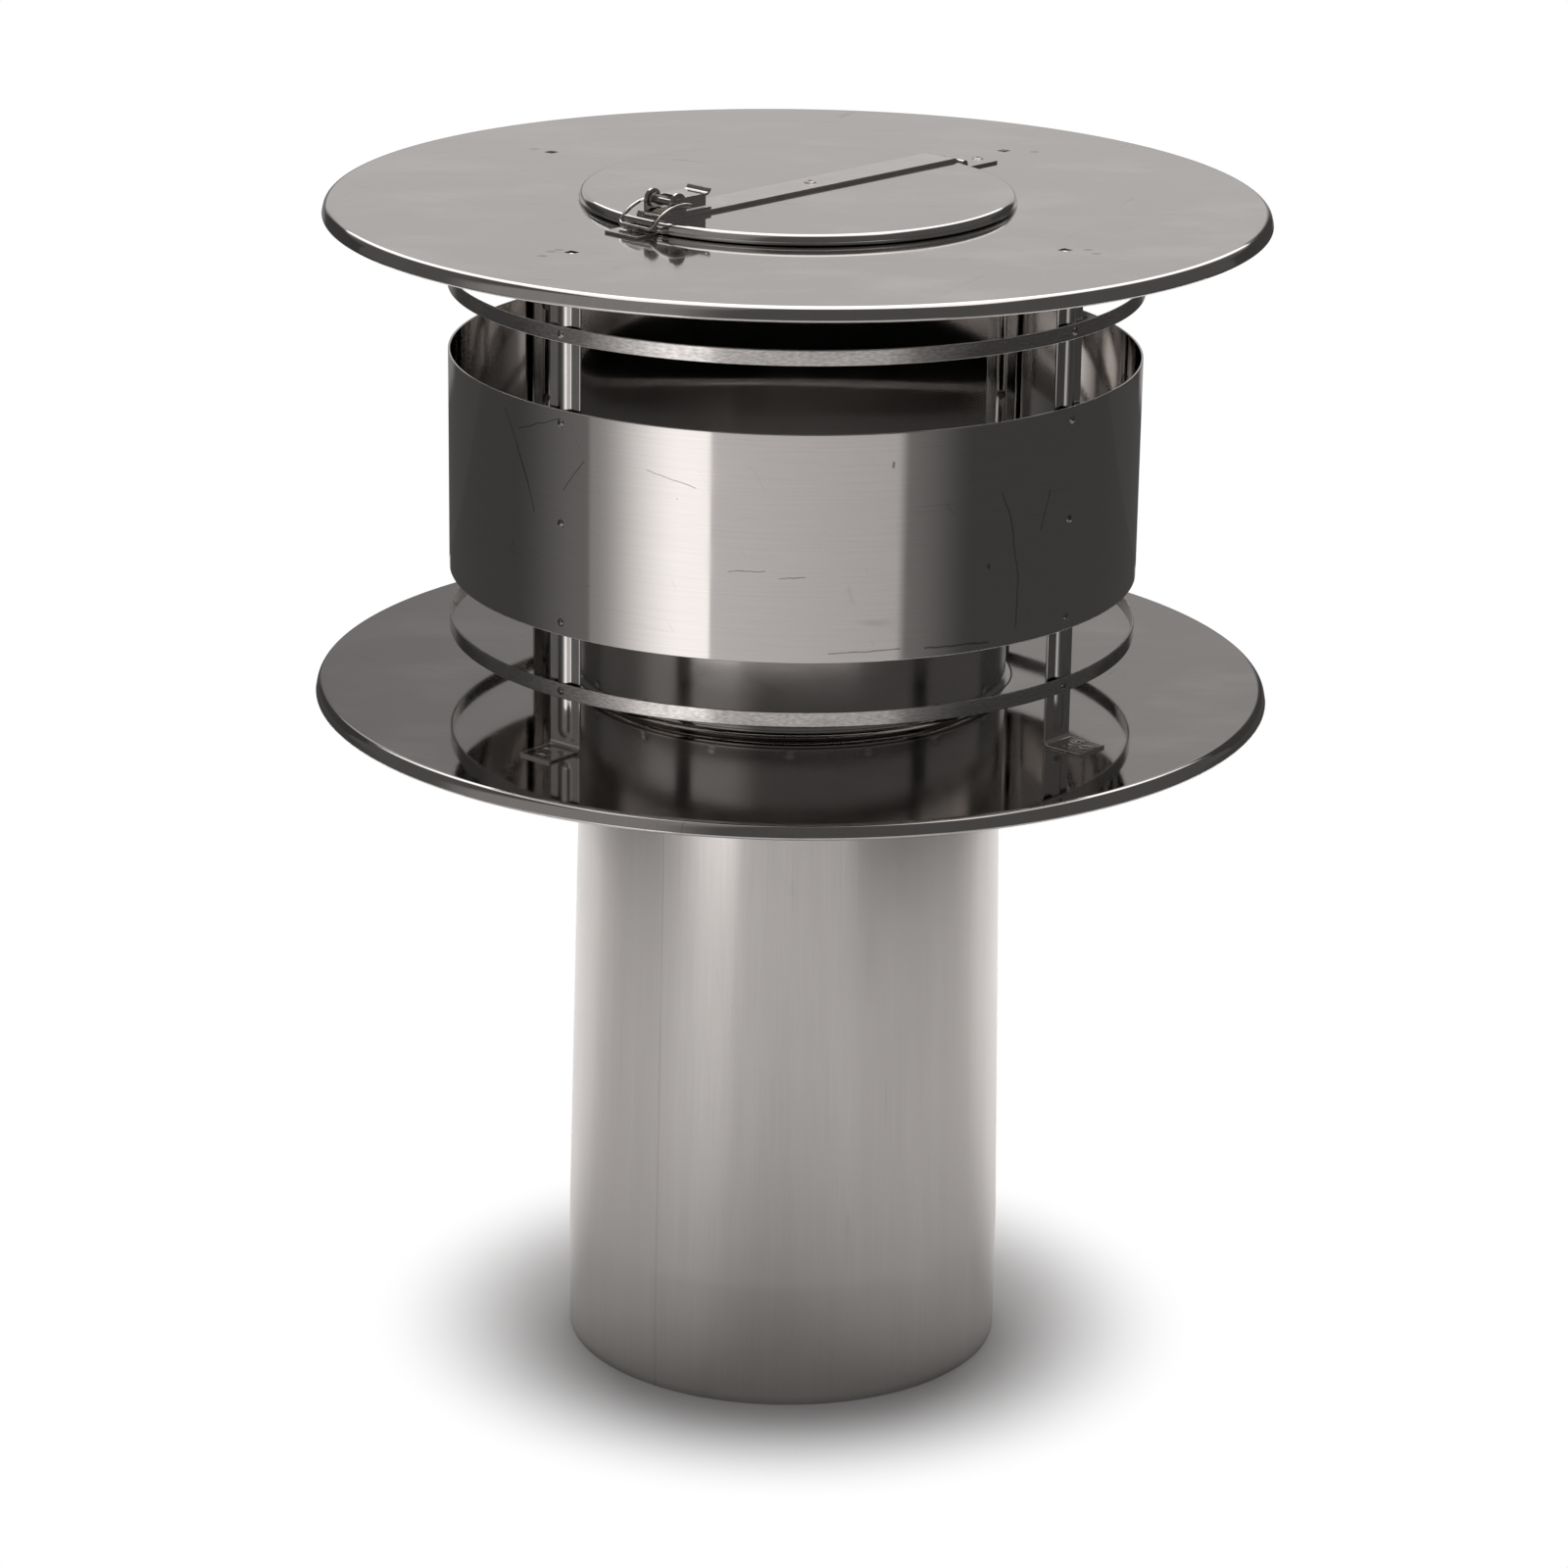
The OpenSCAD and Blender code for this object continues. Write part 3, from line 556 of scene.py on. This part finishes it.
# Discs: flat sheet, round shoulder, flared rim and a rolled hem

TURN = 4.0
FLARE = 14.0


def edge_cap(r_out, r_in, z, up):
    """Sheared edge of a sheet wall between two radii, its corners broken by 0.25 mm."""
    c = 0.25
    low, high = r_in + c, r_out - c
    if up:
        return np.concatenate([arc(high, z - c, c, 0, 90, 3), arc(low, z - c, c, 90, 180, 3)])
    return np.concatenate([arc(low, z + c, c, 180, 270, 3), arc(high, z + c, c, 270, 360, 3)])


def disc_section(radius, neck, stops):
    """Section of a disc: shoulder, top face, neck, underside, rim and hem. stops are radii that
    both faces have points at. The rim leans out by FLARE, tangent to the shoulder and the hem."""
    hem = np.array([radius - HEM, -RIM + HEM])
    lean = np.radians(FLARE)
    middle = hem[0] + HEM / np.cos(lean) - TURN / np.cos(lean) - (-TURN - hem[1]) * np.tan(lean)
    stops = np.array(stops, float)
    top = np.stack([stops, np.zeros(len(stops))], axis=1)
    faces = ([top], [top[::-1] - [0, SHEET]]) if len(stops) else ([], [])
    return path(arc(middle, -TURN, TURN, FLARE, 90, 14), *faces[0], *neck, *faces[1],
                arc(middle, -TURN, TURN - SHEET, 90, FLARE, 10),
                arc(*hem, HEM, 110, 360 + FLARE, 24), closed=True)


def drawn_neck(radius, height, bend, steps):
    """Section of a neck drawn up out of a disc: outer bend, sheared edge and inner bend."""
    middle = radius + bend
    return [arc(middle, bend, bend, 270, 180, steps),
            edge_cap(radius, radius - SHEET, height, True),
            arc(middle, bend, bend + SHEET, 180, 270, steps)]


def upper_disc_shape():
    """Upper disc with four square holes on the diagonals. Round each hole the grid is drawn
    straight: (r, a) goes from (r cos a, r sin a), measured from the diagonal, to (r, R sin a) with
    R the hole's distance. Cells inside are left out on both faces, and walls join the faces."""
    near, far = DRAIN_R - DRAIN / 2, DRAIN_R + DRAIN / 2
    neck = drawn_neck(NECK_R, NECK_H, NECK_BEND, 8)
    stops = [DRAIN_R + 12, DRAIN_R + 7, far, near, DRAIN_R - 7, DRAIN_R - 12]
    r, z = disc_section(UPPER_R, neck, stops).T
    turns, k = 512, len(r)
    step = 2 * np.pi / turns
    a = np.arange(turns) * step
    off = a % (np.pi / 2) - np.pi / 4
    base = (a - off)[:, None]
    edge = np.arcsin(DRAIN / 2 / DRAIN_R)
    off = np.where(np.abs(np.abs(off) - step) < step / 2, np.sign(off) * edge, off)[:, None]
    straight = np.clip((np.radians(6.0) - np.abs(off)) / np.radians(3.5), 0, 1)
    straight = straight * np.clip((13 - np.abs(r - DRAIN_R)) / 6, 0, 1)
    out = r * np.cos(off) * (1 - straight) + r * straight
    side = np.sin(off) * (r * (1 - straight) + DRAIN_R * straight)
    points = np.stack([
        out * np.cos(base) - side * np.sin(base), out * np.sin(base) + side * np.cos(base),
        np.broadcast_to(z, out.shape)], axis=-1).reshape(-1, 3)
    quads = lattice(turns, k, True, True)
    row, column = np.divmod(np.arange(len(quads)), k)
    top_far, top_near, low_near, low_far = np.flatnonzero(np.isclose(r, near) | np.isclose(r, far))
    first = np.array([turns // 8 + q * turns // 4 - 1 for q in range(4)])
    inside = np.isin(row, np.concatenate([first, first + 1])) & np.isin(column, [top_far, low_near])
    walls = []
    for j in (first * k).tolist():
        for i in (j, j + k):
            walls += [[i + top_far, i + k + top_far, i + k + low_far, i + low_far],
                      [i + k + top_near, i + top_near, i + low_near, i + k + low_near]]
        end = j + 2 * k
        walls += [[j + top_near, j + top_far, j + low_far, j + low_near],
                  [end + top_far, end + top_near, end + low_near, end + low_far]]
    # The walls follow the quads' own direction round each hole's edge, so one turn fits all
    whole = outward(points, quads.tolist())[1]
    faces = [f for f, gone in zip(whole, inside.tolist()) if not gone]
    flipped = whole[0] != quads[0].tolist()
    return raised((points, faces + [w[::-1] if flipped else w for w in walls]), UPPER)


collar = drawn_neck(COLLAR_R, COLLAR_H, COLLAR_BEND, 12)
lower_disc = raised(turned(disc_section(LOWER_R, collar, [])), LOWER)
dress(make("lower_disc_spun", lower_disc), "cap", "lower_disc_sheet", "lower_disc")
dress(make("upper_disc_spun", upper_disc_shape()), "cap", "upper_disc_sheet", "upper_disc")


# Pipe, throat sleeve, shroud and rings


def tube_section(low, high, *between):
    """Section of a sheet tube with sheared ends; low, high and between hold (outer radius, z)."""
    foot = edge_cap(low[0], low[0] - SHEET, low[1], False)
    head = edge_cap(high[0], high[0] - SHEET, high[1], True)
    inner = [[(r - SHEET, z)] for r, z in between[::-1]]
    return path(foot[4:], *[[p] for p in between], head, *inner, foot[:4], closed=True)


pipe = turned(tube_section((PIPE_R, 0.0), (PIPE_TOP_R, LOWER + PIPE_TUCK),
                           (PIPE_R, STRAIGHT), (PIPE_TOP_R, LOWER - 14.0)))
dress(make("pipe_rolled", pipe), "cap", "pipe_sheet", "flue_pipe")


def throat_shape():
    """Throat sleeve with a rolled bead on top and spot welds round its foot, 20.7 degrees apart:
    each point within a weld moves in by 0.35 mm times exp(-(distance / 1.4 mm) squared)."""
    inside = THROAT_R - SHEET
    foot = edge_cap(THROAT_R, inside, THROAT_LOW, False)
    fine = np.stack([np.full(8, THROAT_R), np.linspace(6.2, 11.8, 8)], axis=1)
    bead = arc(*BEAD_AT, BEAD_R, -90, 180, 16)
    points, faces = turned(path(foot[4:], fine, [[THROAT_R, BEAD_AT[1] - 1.9]], bead,
                                [[inside, BEAD_AT[1] - 2.5]], fine[::-1] - [SHEET, 0.0], foot[:4],
                                closed=True), 720)
    x, y, z = points.T
    welds = np.radians(20.7)
    turn = (np.arctan2(x, -y) + np.radians(5.1)) / welds
    along = (turn - np.round(turn)) * welds * THROAT_R
    depth = 0.35 * np.exp(-(along ** 2 + (z - 7.6) ** 2) / 1.4 ** 2)
    shrunk = 1 - depth / THROAT_R
    return raised((points * np.stack([shrunk, shrunk, np.ones(len(z))], axis=1), faces), LOWER)


dress(make("throat_rolled", throat_shape()), "cap", "throat_sheet", "throat_sleeve")

BANDS = {"wind_shroud": "shroud_sheet", "upper_ring": "ring_strip", "lower_ring": "ring_strip"}
for node, slot in BANDS.items():
    low, high = reach_of(node)
    band = turned(tube_section((BAND_R, low[2]), (BAND_R, high[2])), 720)
    dress(make(node + "_rolled", band), "cap", slot, node)


# Posts


def post_shape():
    """Post in its own frame (outwards, sideways, up): a strip's section carried along foot, bend,
    strip, bend and foot. Both faces rise to the rib, a round bar with ball ends: each is the
    smooth higher one of the flat and the bar's height, axis + sqrt(r^2 - v^2 - w^2), with w the
    distance past the rib's end. The feet have round weld dents of 0.4 mm with a low lip."""
    z0, z1 = LOWER, UPPER - SHEET
    half_t, half_w, c = POST_T / 2, POST_W / 2, 0.3
    strip, reach, turn = STRIP_OUT - half_t, STRIP_OUT + FOOT_BEND, FOOT_BEND + half_t
    bend = arc(reach, z0 + FOOT_BEND + POST_T, turn, -90, -180, 10)
    foot = path([[FOOT_END, z0 + half_t]], bend, [[strip, z0 + 22]], step=0.8)
    middle = np.concatenate([foot, line([strip, z0 + 22], [strip, z1 - 22], 6.0, 2.0),
                             (foot * [1, -1] + [0, z0 + z1])[::-1]])
    ahead = headings(middle)
    outer = np.stack([ahead[:, 1], -ahead[:, 0]], axis=1)
    v = np.linspace(-half_w + c, half_w - c, 49)
    past = np.maximum(z0 + RIB_END - middle[:, 1], middle[:, 1] - (z1 - RIB_END))
    past = np.maximum(past, 0.0)[:, None]
    r = np.array([RIB_R, RIB_R - POST_T])[:, None, None]
    bar = RIB_AXIS - strip + np.sqrt(np.maximum(r ** 2 - v ** 2 - past ** 2, 0.0))
    flat = np.array([half_t, -half_t])[:, None, None]
    face, back = 0.5 * (flat + bar + np.sqrt((flat - bar) ** 2 + 0.09)) - 0.02
    for out, side in ((8.0, -4.0), (8.0, 4.0), (15.5, 0.0)):
        far = np.hypot(middle[:, :1] - STRIP_OUT - out, v - side)
        dent = 0.10 * np.exp(-((far - 2.1) / 0.7) ** 2) - 0.4 * np.exp(-(far / 1.3) ** 2)
        face = face + np.where(middle[:, :1] > reach, dent, 0.0)
    edge = np.radians([30, 60, 90])
    corner, drop = half_w - c + c * np.sin(edge), c * (1 - np.cos(edge))
    across = np.concatenate([v, corner, corner[::-1], v[::-1], -corner, -corner[::-1]])
    height = np.concatenate([face, face[:, -1:] - drop, back[:, -1:] + drop[::-1], back[:, ::-1],
                             back[:, :1] + drop, face[:, :1] - drop[::-1]], axis=1)
    points = middle[:, None, :] + outer[:, None, :] * height[..., None]
    across = np.broadcast_to(across, height.shape)
    return swept(np.stack([points[..., 0], across, points[..., 1]], axis=-1))


def axes_at(bearing):
    """Outward and sideways directions at a bearing in degrees."""
    b = np.radians(bearing)
    return np.array([np.cos(b), np.sin(b), 0.0]), np.array([-np.sin(b), np.cos(b), 0.0])


post = post_shape()
for side, bearing in POSTS.items():
    shape = placed(post, [0, 0, 0], *axes_at(bearing), UP)
    dress(make(f"post_pressed_{side}", shape), "cap", "post_sheet", f"post_{side}")


# Rivets


def rivet(grip, shank, head, high, tail_r, tail):
    """Rivet about Z: domed head with a dimple above 0, shank through the grip, upset tail below.
    The dome is a ball of radius (head^2 + high^2) / (2 high)."""
    ball = (head ** 2 + high ** 2) / (2 * high)
    rise = np.degrees(np.arccos(head * np.array([0.34, 0.985]) / ball))
    return turned(np.concatenate([
        [[0.0, high * 0.55], [head * 0.26, high * 0.55]], arc(0.0, high - ball, ball, *rise, 10),
        [[head, 0.0], [shank, 0.0], [shank, -grip - 0.4], [tail_r, -grip - 0.8],
         [tail_r, -grip - tail], [0.0, -grip - tail]]]), 28)


BAND_RIVET = (2.25, 1.2, 1.9, 0.9, 1.9, 1.9)
shroud_rows = [SHROUD_LOW + RIVET_EDGE, (SHROUD_LOW + SHROUD_HIGH) / 2, SHROUD_HIGH - RIVET_EDGE]
upper_row, lower_row = (np.mean(reach_of(ring), axis=0)[2] for ring in ("upper_ring", "lower_ring"))
for node, heights in (("shroud_rivets", shroud_rows), ("upper_ring_rivets", [upper_row]),
                      ("lower_ring_rivets", [lower_row])):
    heads = [placed(rivet(*BAND_RIVET), away * BAND_R + UP * z, side, UP, away)
             for away, side in map(axes_at, POSTS.values()) for z in heights]
    dress(make(node + "_upset", joined(heads), 50.0), "cap", "rivet_steel", node)

FITTING_RIVETS = {
    "hinge_rivet": ("cap", (2.2, 1.5, 2.8, 0.9, 2.4, 2.0), [(125.0, FITTING_T)]),
    "strap_rivet": ("lid_assembly", (2.5, 1.5, 3.0, 1.1, 2.4, 2.0), [(8.0, STRAP_TOP)]),
    "latch_base_rivets": ("lid_assembly", (3.7, 1.5, 2.6, 0.8, 2.4, 2.0),
                          [(-77.88, STRAP_TOP + FITTING_T), (-70.28, STRAP_TOP + FITTING_T)]),
}
for node, (body, sizes, places) in FITTING_RIVETS.items():
    heads = joined([placed(rivet(*sizes), [u, 0, z], [1, 0, 0], [0, 1, 0], UP) for u, z in places])
    dress(make(node + "_upset", on_strap(heads), 50.0), body, "rivet_steel", node)


# Lid, strap, hinge and toggle latch

corner = np.array([LID_R, LID_H]) - LID_BEND
lid = turned(np.concatenate([
    [[0.0, LID_H - SHEET]], path([[2.0, LID_H - SHEET]], arc(*corner, LID_BEND - SHEET, 90, 0, 8)),
    arc(LID_R - 0.4, 1.1, LID_HEM, 135, 420, 18),
    path(arc(*corner, LID_BEND, 0, 90, 12), [[2.0, LID_H]]), [[0.0, LID_H]]]))
dress(make("lid_pressed", raised(lid, UPPER)), "lid_assembly", "lid_sheet", "lid")

for node, name, body, slot in (("lid_strap", "strap_bent", "lid_assembly", "strap_steel"),
                               ("hinge_bracket", "hinge_bracket_stamped", "cap", "bracket_steel"),
                               ("latch_keeper", "keeper_curled", "cap", "keeper_steel"),
                               ("latch_base", "latch_base_folded", "lid_assembly", "latch_steel"),
                               ("latch_lever", "lever_folded", "lever", "lever_steel")):
    dress(eased(name, node, 0.2 if node == "lid_strap" else 0.35), body, slot, node)


def pin_across(section, at):
    """Turned shape laid across the strap's line at (u, z), its own axis along v."""
    return on_strap(placed(turned(section, 32), [at[0], 0, at[1]], [1, 0, 0], [0, 0, 1], [0, 1, 0]))


pin_end = np.array([[PIN_R, PIN_HALF - 0.3], [PIN_R - 0.3, PIN_HALF], [0.0, PIN_HALF]])
hinge_pin = pin_across(np.concatenate([pin_end[::-1] * [1, -1], pin_end]), HINGE_AT)
dress(make("hinge_pin_drawn", hinge_pin), "cap", "pin_steel", "hinge_pin")

lip, flange, rim = 0.3, EYELET_R + 0.7, EAR_V + 0.3
eyelet = np.concatenate([
    arc(flange, rim, lip, -90, 90, 6), arc(EYELET_R - 0.4, rim, lip, 90, 180, 4),
    arc(EYELET_R - 0.4, -rim, lip, 180, 270, 4), arc(flange, -rim, lip, -90, 90, 6),
    [[EYELET_R, -EAR_V], [EYELET_R, EAR_V]]])
dress(make("pivot_eyelet", pin_across(eyelet, PIVOT)), "lid_assembly", "pin_steel",
      "latch_pivot_pin")


def bail_line():
    """Middle line of the bail in (u, v, z): from inside the lever round a corner, along a bowed
    arm, round a corner to the bar, and the same mirrored. The arm's arc is tangent to both corners,
    so each corner's own centre lies at the root of bow^2 + corner^2 from the arc's centre."""
    arm_corner, bar_corner = 1.6, 2.4
    run = BAR_AT - BAIL_AT
    span = np.linalg.norm(run)
    along = (arm_corner ** 2 - bar_corner ** 2 + span ** 2) / (2 * span)
    drop = np.sqrt(BOW_R ** 2 + arm_corner ** 2 - along ** 2)
    centre = BAIL_AT + (along * run + drop * np.array([-run[1], run[0]])) / span
    start = np.arctan2(*(BAIL_AT - centre)[::-1]) + np.arctan(arm_corner / BOW_R)
    stop = np.arctan2(*(BAR_AT - centre)[::-1]) - np.arctan(bar_corner / BOW_R)

    def unit(a):
        """Unit vector at the angle a."""
        return np.stack([np.cos(a), np.sin(a)], axis=-1)

    t = np.radians(np.linspace(0, 90, 9))[:, None]
    a = np.linspace(start, stop, 26)[1:-1]
    uz = np.concatenate([
        [BAIL_AT], BAIL_AT + arm_corner * (1 - np.cos(t)) * unit(start + np.pi / 2),
        centre + BOW_R * unit(a),
        centre + BOW_R * unit(stop) + bar_corner * np.sin(t) * unit(stop + np.pi / 2)])
    v = np.concatenate([
        [CHEEK_IN - 0.3], ARM_V - arm_corner * (1 - np.sin(t[:, 0])), np.full(len(a), ARM_V),
        ARM_V - bar_corner * (1 - np.cos(t[:, 0]))])
    left = np.stack([uz[:, 0], v, uz[:, 1]], axis=1)
    bar = np.stack([np.full(3, BAR_AT[0]), [5.0, 0.0, -5.0], np.full(3, BAR_AT[1])], axis=1)
    return np.concatenate([left, bar, left[::-1] * [1, -1, 1]])


bail = on_strap(tube_along(bail_line(), WIRE_R, (0.3, 0.0, 1.0)))
dress(make("bail_bent", bail, 60.0), "bail", "bail_wire", "latch_bail")


# Camera, as solved from the rims, rings, feet and rivets in the photograph

PHOTO = 1600.0
FOCAL = 5191.1
PITCH, YAW, ROLL = np.radians([18.588, 5.0765, 0.8501])
CAMERA_AT = np.array([-205.42, -2284.72, 1046.73])

forward = Vector((np.sin(YAW) * np.cos(PITCH), np.cos(YAW) * np.cos(PITCH), -np.sin(PITCH)))
sideways = Vector((np.cos(YAW), -np.sin(YAW), 0.0))
upward = sideways.cross(forward)
right = sideways * np.cos(ROLL) + upward * np.sin(ROLL)
top = upward * np.cos(ROLL) - sideways * np.sin(ROLL)
camera = bpy.data.objects.new("camera", bpy.data.cameras.new("camera"))
camera.data.sensor_width = 36.0
camera.data.sensor_fit = "HORIZONTAL"
camera.data.lens = FOCAL / PHOTO * 36.0
camera.data.clip_end = 50.0
camera.matrix_world = Matrix((
    (right.x, top.x, -forward.x, CAMERA_AT[0] * MM),
    (right.y, top.y, -forward.y, CAMERA_AT[1] * MM),
    (right.z, top.z, -forward.z, CAMERA_AT[2] * MM), (0, 0, 0, 1)))
bpy.context.scene.collection.objects.link(camera)
bpy.context.scene.camera = camera

# Studio: white to the camera. The metal sees a large box of light above and behind the object, a
# pale wall behind it, a dark room round it, and below the horizon a table with a bright strip box
# and a grey patch in front, with dark flags at both sides. Bearings are in degrees from the
# camera's side, growing towards its right. Levels are light strengths, where 1 is white.

AWAY = np.array([np.sin(YAW), np.cos(YAW), 0.0])
BESIDE = np.array([np.cos(YAW), -np.sin(YAW), 0.0])
PLAIN_WHITE = (1.0, 1.0, 1.0, 1.0)
STRIP_LEVEL = 1.55
PATCH_LEVELS = (0.70, 0.52)
BOX_LEVEL = 1.55
OVERHEAD_LEVEL = 2.3
ROOM_LEVEL = 0.11
LEFT_LEVEL = 0.20
FLOOR_LEVEL = 0.07
RIM_LEVEL = 0.7
WALL_LEVEL = 0.60
WALL_DISTANCE = 500.0
WALL_HALF = 1000.0
WALL_LOW, WALL_HIGH = 240.0, 790.0
TABLE_HALF = 9000.0


def bearings(tree, place):
    """Bearing of a direction and its size, and the parts of it towards the camera and aside."""
    part = {"out": "Value", "operation": "DOT_PRODUCT"}
    toward = add(tree, "VectorMath", [place, (-AWAY).tolist()], **part)
    aside = add(tree, "VectorMath", [place, BESIDE.tolist()], **part)
    turn = add(tree, "Math", [aside, toward], operation="ARCTAN2")
    turn = add(tree, "Math", [turn], operation="DEGREES")
    return turn, add(tree, "Math", [turn], operation="ABSOLUTE"), toward, aside


def table_light(tree, turn):
    """Light off the table by bearing: soft end of the left flag, strip box, patch, right flag."""
    light = add(tree, "MapRange", [turn, -105.0, -71.0, 0.0, 0.12], **SMOOTH)
    strip = add(tree, "MapRange", [turn, -70.0, -36.0, 0.27, STRIP_LEVEL], **SMOOTH)
    light = add(tree, "MapRange", [turn, -70.8, -70.0, light, strip])
    patch = add(tree, "MapRange", [turn, -27.0, 36.0, *PATCH_LEVELS])
    light = add(tree, "MapRange", [turn, -27.4, -26.6, light, patch])
    flag = add(tree, "MapRange", [turn, 36.0, 62.0, 0.15, 0.0], **SMOOTH)
    return add(tree, "MapRange", [turn, 34.5, 37.5, light, flag])


def room_light(tree, turn, apart, height):
    """Light round the object by bearing: above the horizon the room's, and below it the table's."""
    rim_light = add(tree, "MapRange", [apart, 166.0, 172.0, 0.0, RIM_LEVEL], **SMOOTH)
    low = layered(tree, (table_light(tree, turn), 1.0), (rim_light, 1.0), (1.0, FLOOR_LEVEL))
    wall = add(tree, "MapRange", [apart, 140.0, 165.0, ROOM_LEVEL, 0.57], **SMOOTH)
    left = add(tree, "MapRange", [turn, -92.0, -76.0, 0.0, LEFT_LEVEL], **SMOOTH)
    left = add(tree, "MapRange", [turn, -34.0, -14.0, left, 0.0], **SMOOTH)
    room = add(tree, "Math", [wall, left], operation="ADD")
    return add(tree, "MapRange", [height, -7.0, -2.0, low, room], **SMOOTH)


def lamp_light(tree, toward, aside, rise, height):
    """Light of the box above and behind, by the direction's parts. The table gets half of its light
    from straight above, which only matt surfaces show."""
    out = add(tree, "Math", [aside], operation="ABSOLUTE")
    box = add(tree, "MapRange", [out, 0.34, 0.46, BOX_LEVEL, 0.0], **SMOOTH)
    box = add(tree, "MapRange", [toward, -0.12, 0.08, box, 0.0], **SMOOTH)
    box = add(tree, "MapRange", [rise, 0.22, 0.28, 0.0, box], **SMOOTH)
    overhead = add(tree, "MapRange", [height, 50.0, 70.0, 0.0, OVERHEAD_LEVEL], **SMOOTH)
    matt = add(tree, "LightPath", out="Is Diffuse Ray")
    above = layered(tree, (box, 1.13), (overhead, 1.0))
    return add(tree, "Mix", {0: matt, 2: box, 3: above}, data_type="FLOAT")


def light_studio():
    """World of the studio, white to the camera alone."""
    world = bpy.data.worlds.new("studio")
    bpy.context.scene.world = world
    world.use_nodes = True
    tree = world.node_tree
    tree.nodes.clear()
    ray = add(tree, "TexCoord", out="Generated")
    turn, apart, toward, aside = bearings(tree, ray)
    rise = add(tree, "SeparateXYZ", [ray], out="Z")
    height = add(tree, "Math", [rise], operation="ARCSINE")
    height = add(tree, "Math", [height], operation="DEGREES")
    around = room_light(tree, turn, apart, height)
    lamps = lamp_light(tree, toward, aside, rise, height)
    light = add(tree, "Math", [around, lamps], operation="ADD")
    shade = add(tree, "Background", {"Color": SOFT_WHITE, "Strength": light})
    white = add(tree, "Background", {"Color": PLAIN_WHITE, "Strength": 1.0})
    camera_ray = add(tree, "LightPath", out="Is Camera Ray")
    seen = add(tree, "MixShader", {0: camera_ray, 1: shade, 2: white})
    add(tree, "OutputWorld", {"Surface": seen})


def table_material():
    """Matt white table: the camera sees its middle, painted grey to deepen the object's shadow, run
    out to plain white, and the metal sees it greyer in front than behind, with a faint painted
    sheen of the lights, out to its edge."""
    mat, tree, place = begin("matt_white_table")
    reach = add(tree, "VectorMath", [place], out="Value", operation="LENGTH")
    turn, apart = bearings(tree, place)[:2]
    plain = add(tree, "Emission", {"Color": PLAIN_WHITE, "Strength": 1.0})
    # Painted shade: within 105 mm of the axis the table is grey, blending to white by 205 mm,
    # darker than the white round it, which deepens the object's real shadow there
    shaded = add(tree, "BsdfDiffuse", {"Color": linear("#c6c6c6")})
    run_out = add(tree, "MapRange", [reach, 105.0, 205.0, 0.0, 1.0], **SMOOTH)
    shown = add(tree, "MixShader", {0: run_out, 1: shaded, 2: plain})
    behind = add(tree, "MapRange", [apart, 95.0, 130.0, 0.0, 1.0], **SMOOTH)
    grey = add(tree, "Mix", {0: behind, 6: linear("#c8c8c8"), 7: linear("#f4f4f4")}, out=2,
               data_type="RGBA")
    # Painted sheen: the table glows with the lights' levels by bearing, faint near the object and
    # stronger towards its edge
    fade = add(tree, "MapRange", [reach, 110.0, 700.0, 0.01, 0.19], **SMOOTH)
    sheen = add(tree, "Math", [table_light(tree, turn), fade], operation="MULTIPLY")
    sheen = add(tree, "Emission", {"Strength": sheen})
    lit = add(tree, "AddShader", [add(tree, "BsdfDiffuse", {"Color": grey}), sheen])
    edge = add(tree, "MapRange", [reach, 850.0, 1050.0, 0.0, 1.0], **SMOOTH)
    mirrored = add(tree, "MixShader", {0: edge, 1: lit, 2: add(tree, "BsdfTransparent")})
    camera_ray = add(tree, "LightPath", out="Is Camera Ray")
    seen = add(tree, "MixShader", {0: camera_ray, 1: mirrored, 2: shown})
    add(tree, "OutputMaterial", {"Surface": seen})
    return mat


def wall_material():
    """Studio wall behind the object, seen by reflections alone: dim at the height that the lower
    disc mirrors, paler at the height that the upper one mirrors, dark at its foot and sides."""
    mat, tree, place = begin("studio_wall")
    xyz = add(tree, "SeparateXYZ", [place]).node
    out = add(tree, "Math", [xyz.outputs["X"]], operation="ABSOLUTE")
    dim = add(tree, "MapRange", [xyz.outputs["X"], -300.0, 300.0, 0.23, 0.36], **SMOOTH)
    level = add(tree, "MapRange", [xyz.outputs["Z"], 584.0, 612.0, dim, WALL_LEVEL], **SMOOTH)
    level = add(tree, "MapRange", [out, 330.0, 430.0, level, 0.06], **SMOOTH)
    level = add(tree, "MapRange", [xyz.outputs["Z"], 325.0, 345.0, 0.08, level], **SMOOTH)
    glow = add(tree, "Emission", {"Color": SOFT_WHITE, "Strength": level})
    add(tree, "OutputMaterial", {"Surface": glow})
    return mat


def stage_plane(name, middle, side, up, material):
    """Flat plane of the studio: a middle in mm, and the two half sides from it."""
    corners = middle + np.array([-side - up, side - up, side + up, up - side])
    obj = make(name, (corners, [[0, 1, 2, 3]]))
    obj.data.materials.append(material)
    return obj


light_studio()
stage_plane("table", np.zeros(3), np.array([TABLE_HALF, 0, 0]), np.array([0, TABLE_HALF, 0]),
            table_material())
backdrop = stage_plane("studio_wall", AWAY * WALL_DISTANCE + UP * (WALL_LOW + WALL_HIGH) / 2,
                       BESIDE * WALL_HALF, UP * (WALL_HIGH - WALL_LOW) / 2, wall_material())
for ray_kind in ("camera", "diffuse", "shadow", "transmission", "volume_scatter"):
    setattr(backdrop, "visible_" + ray_kind, False)

bpy.context.scene.view_settings.view_transform = "Standard"
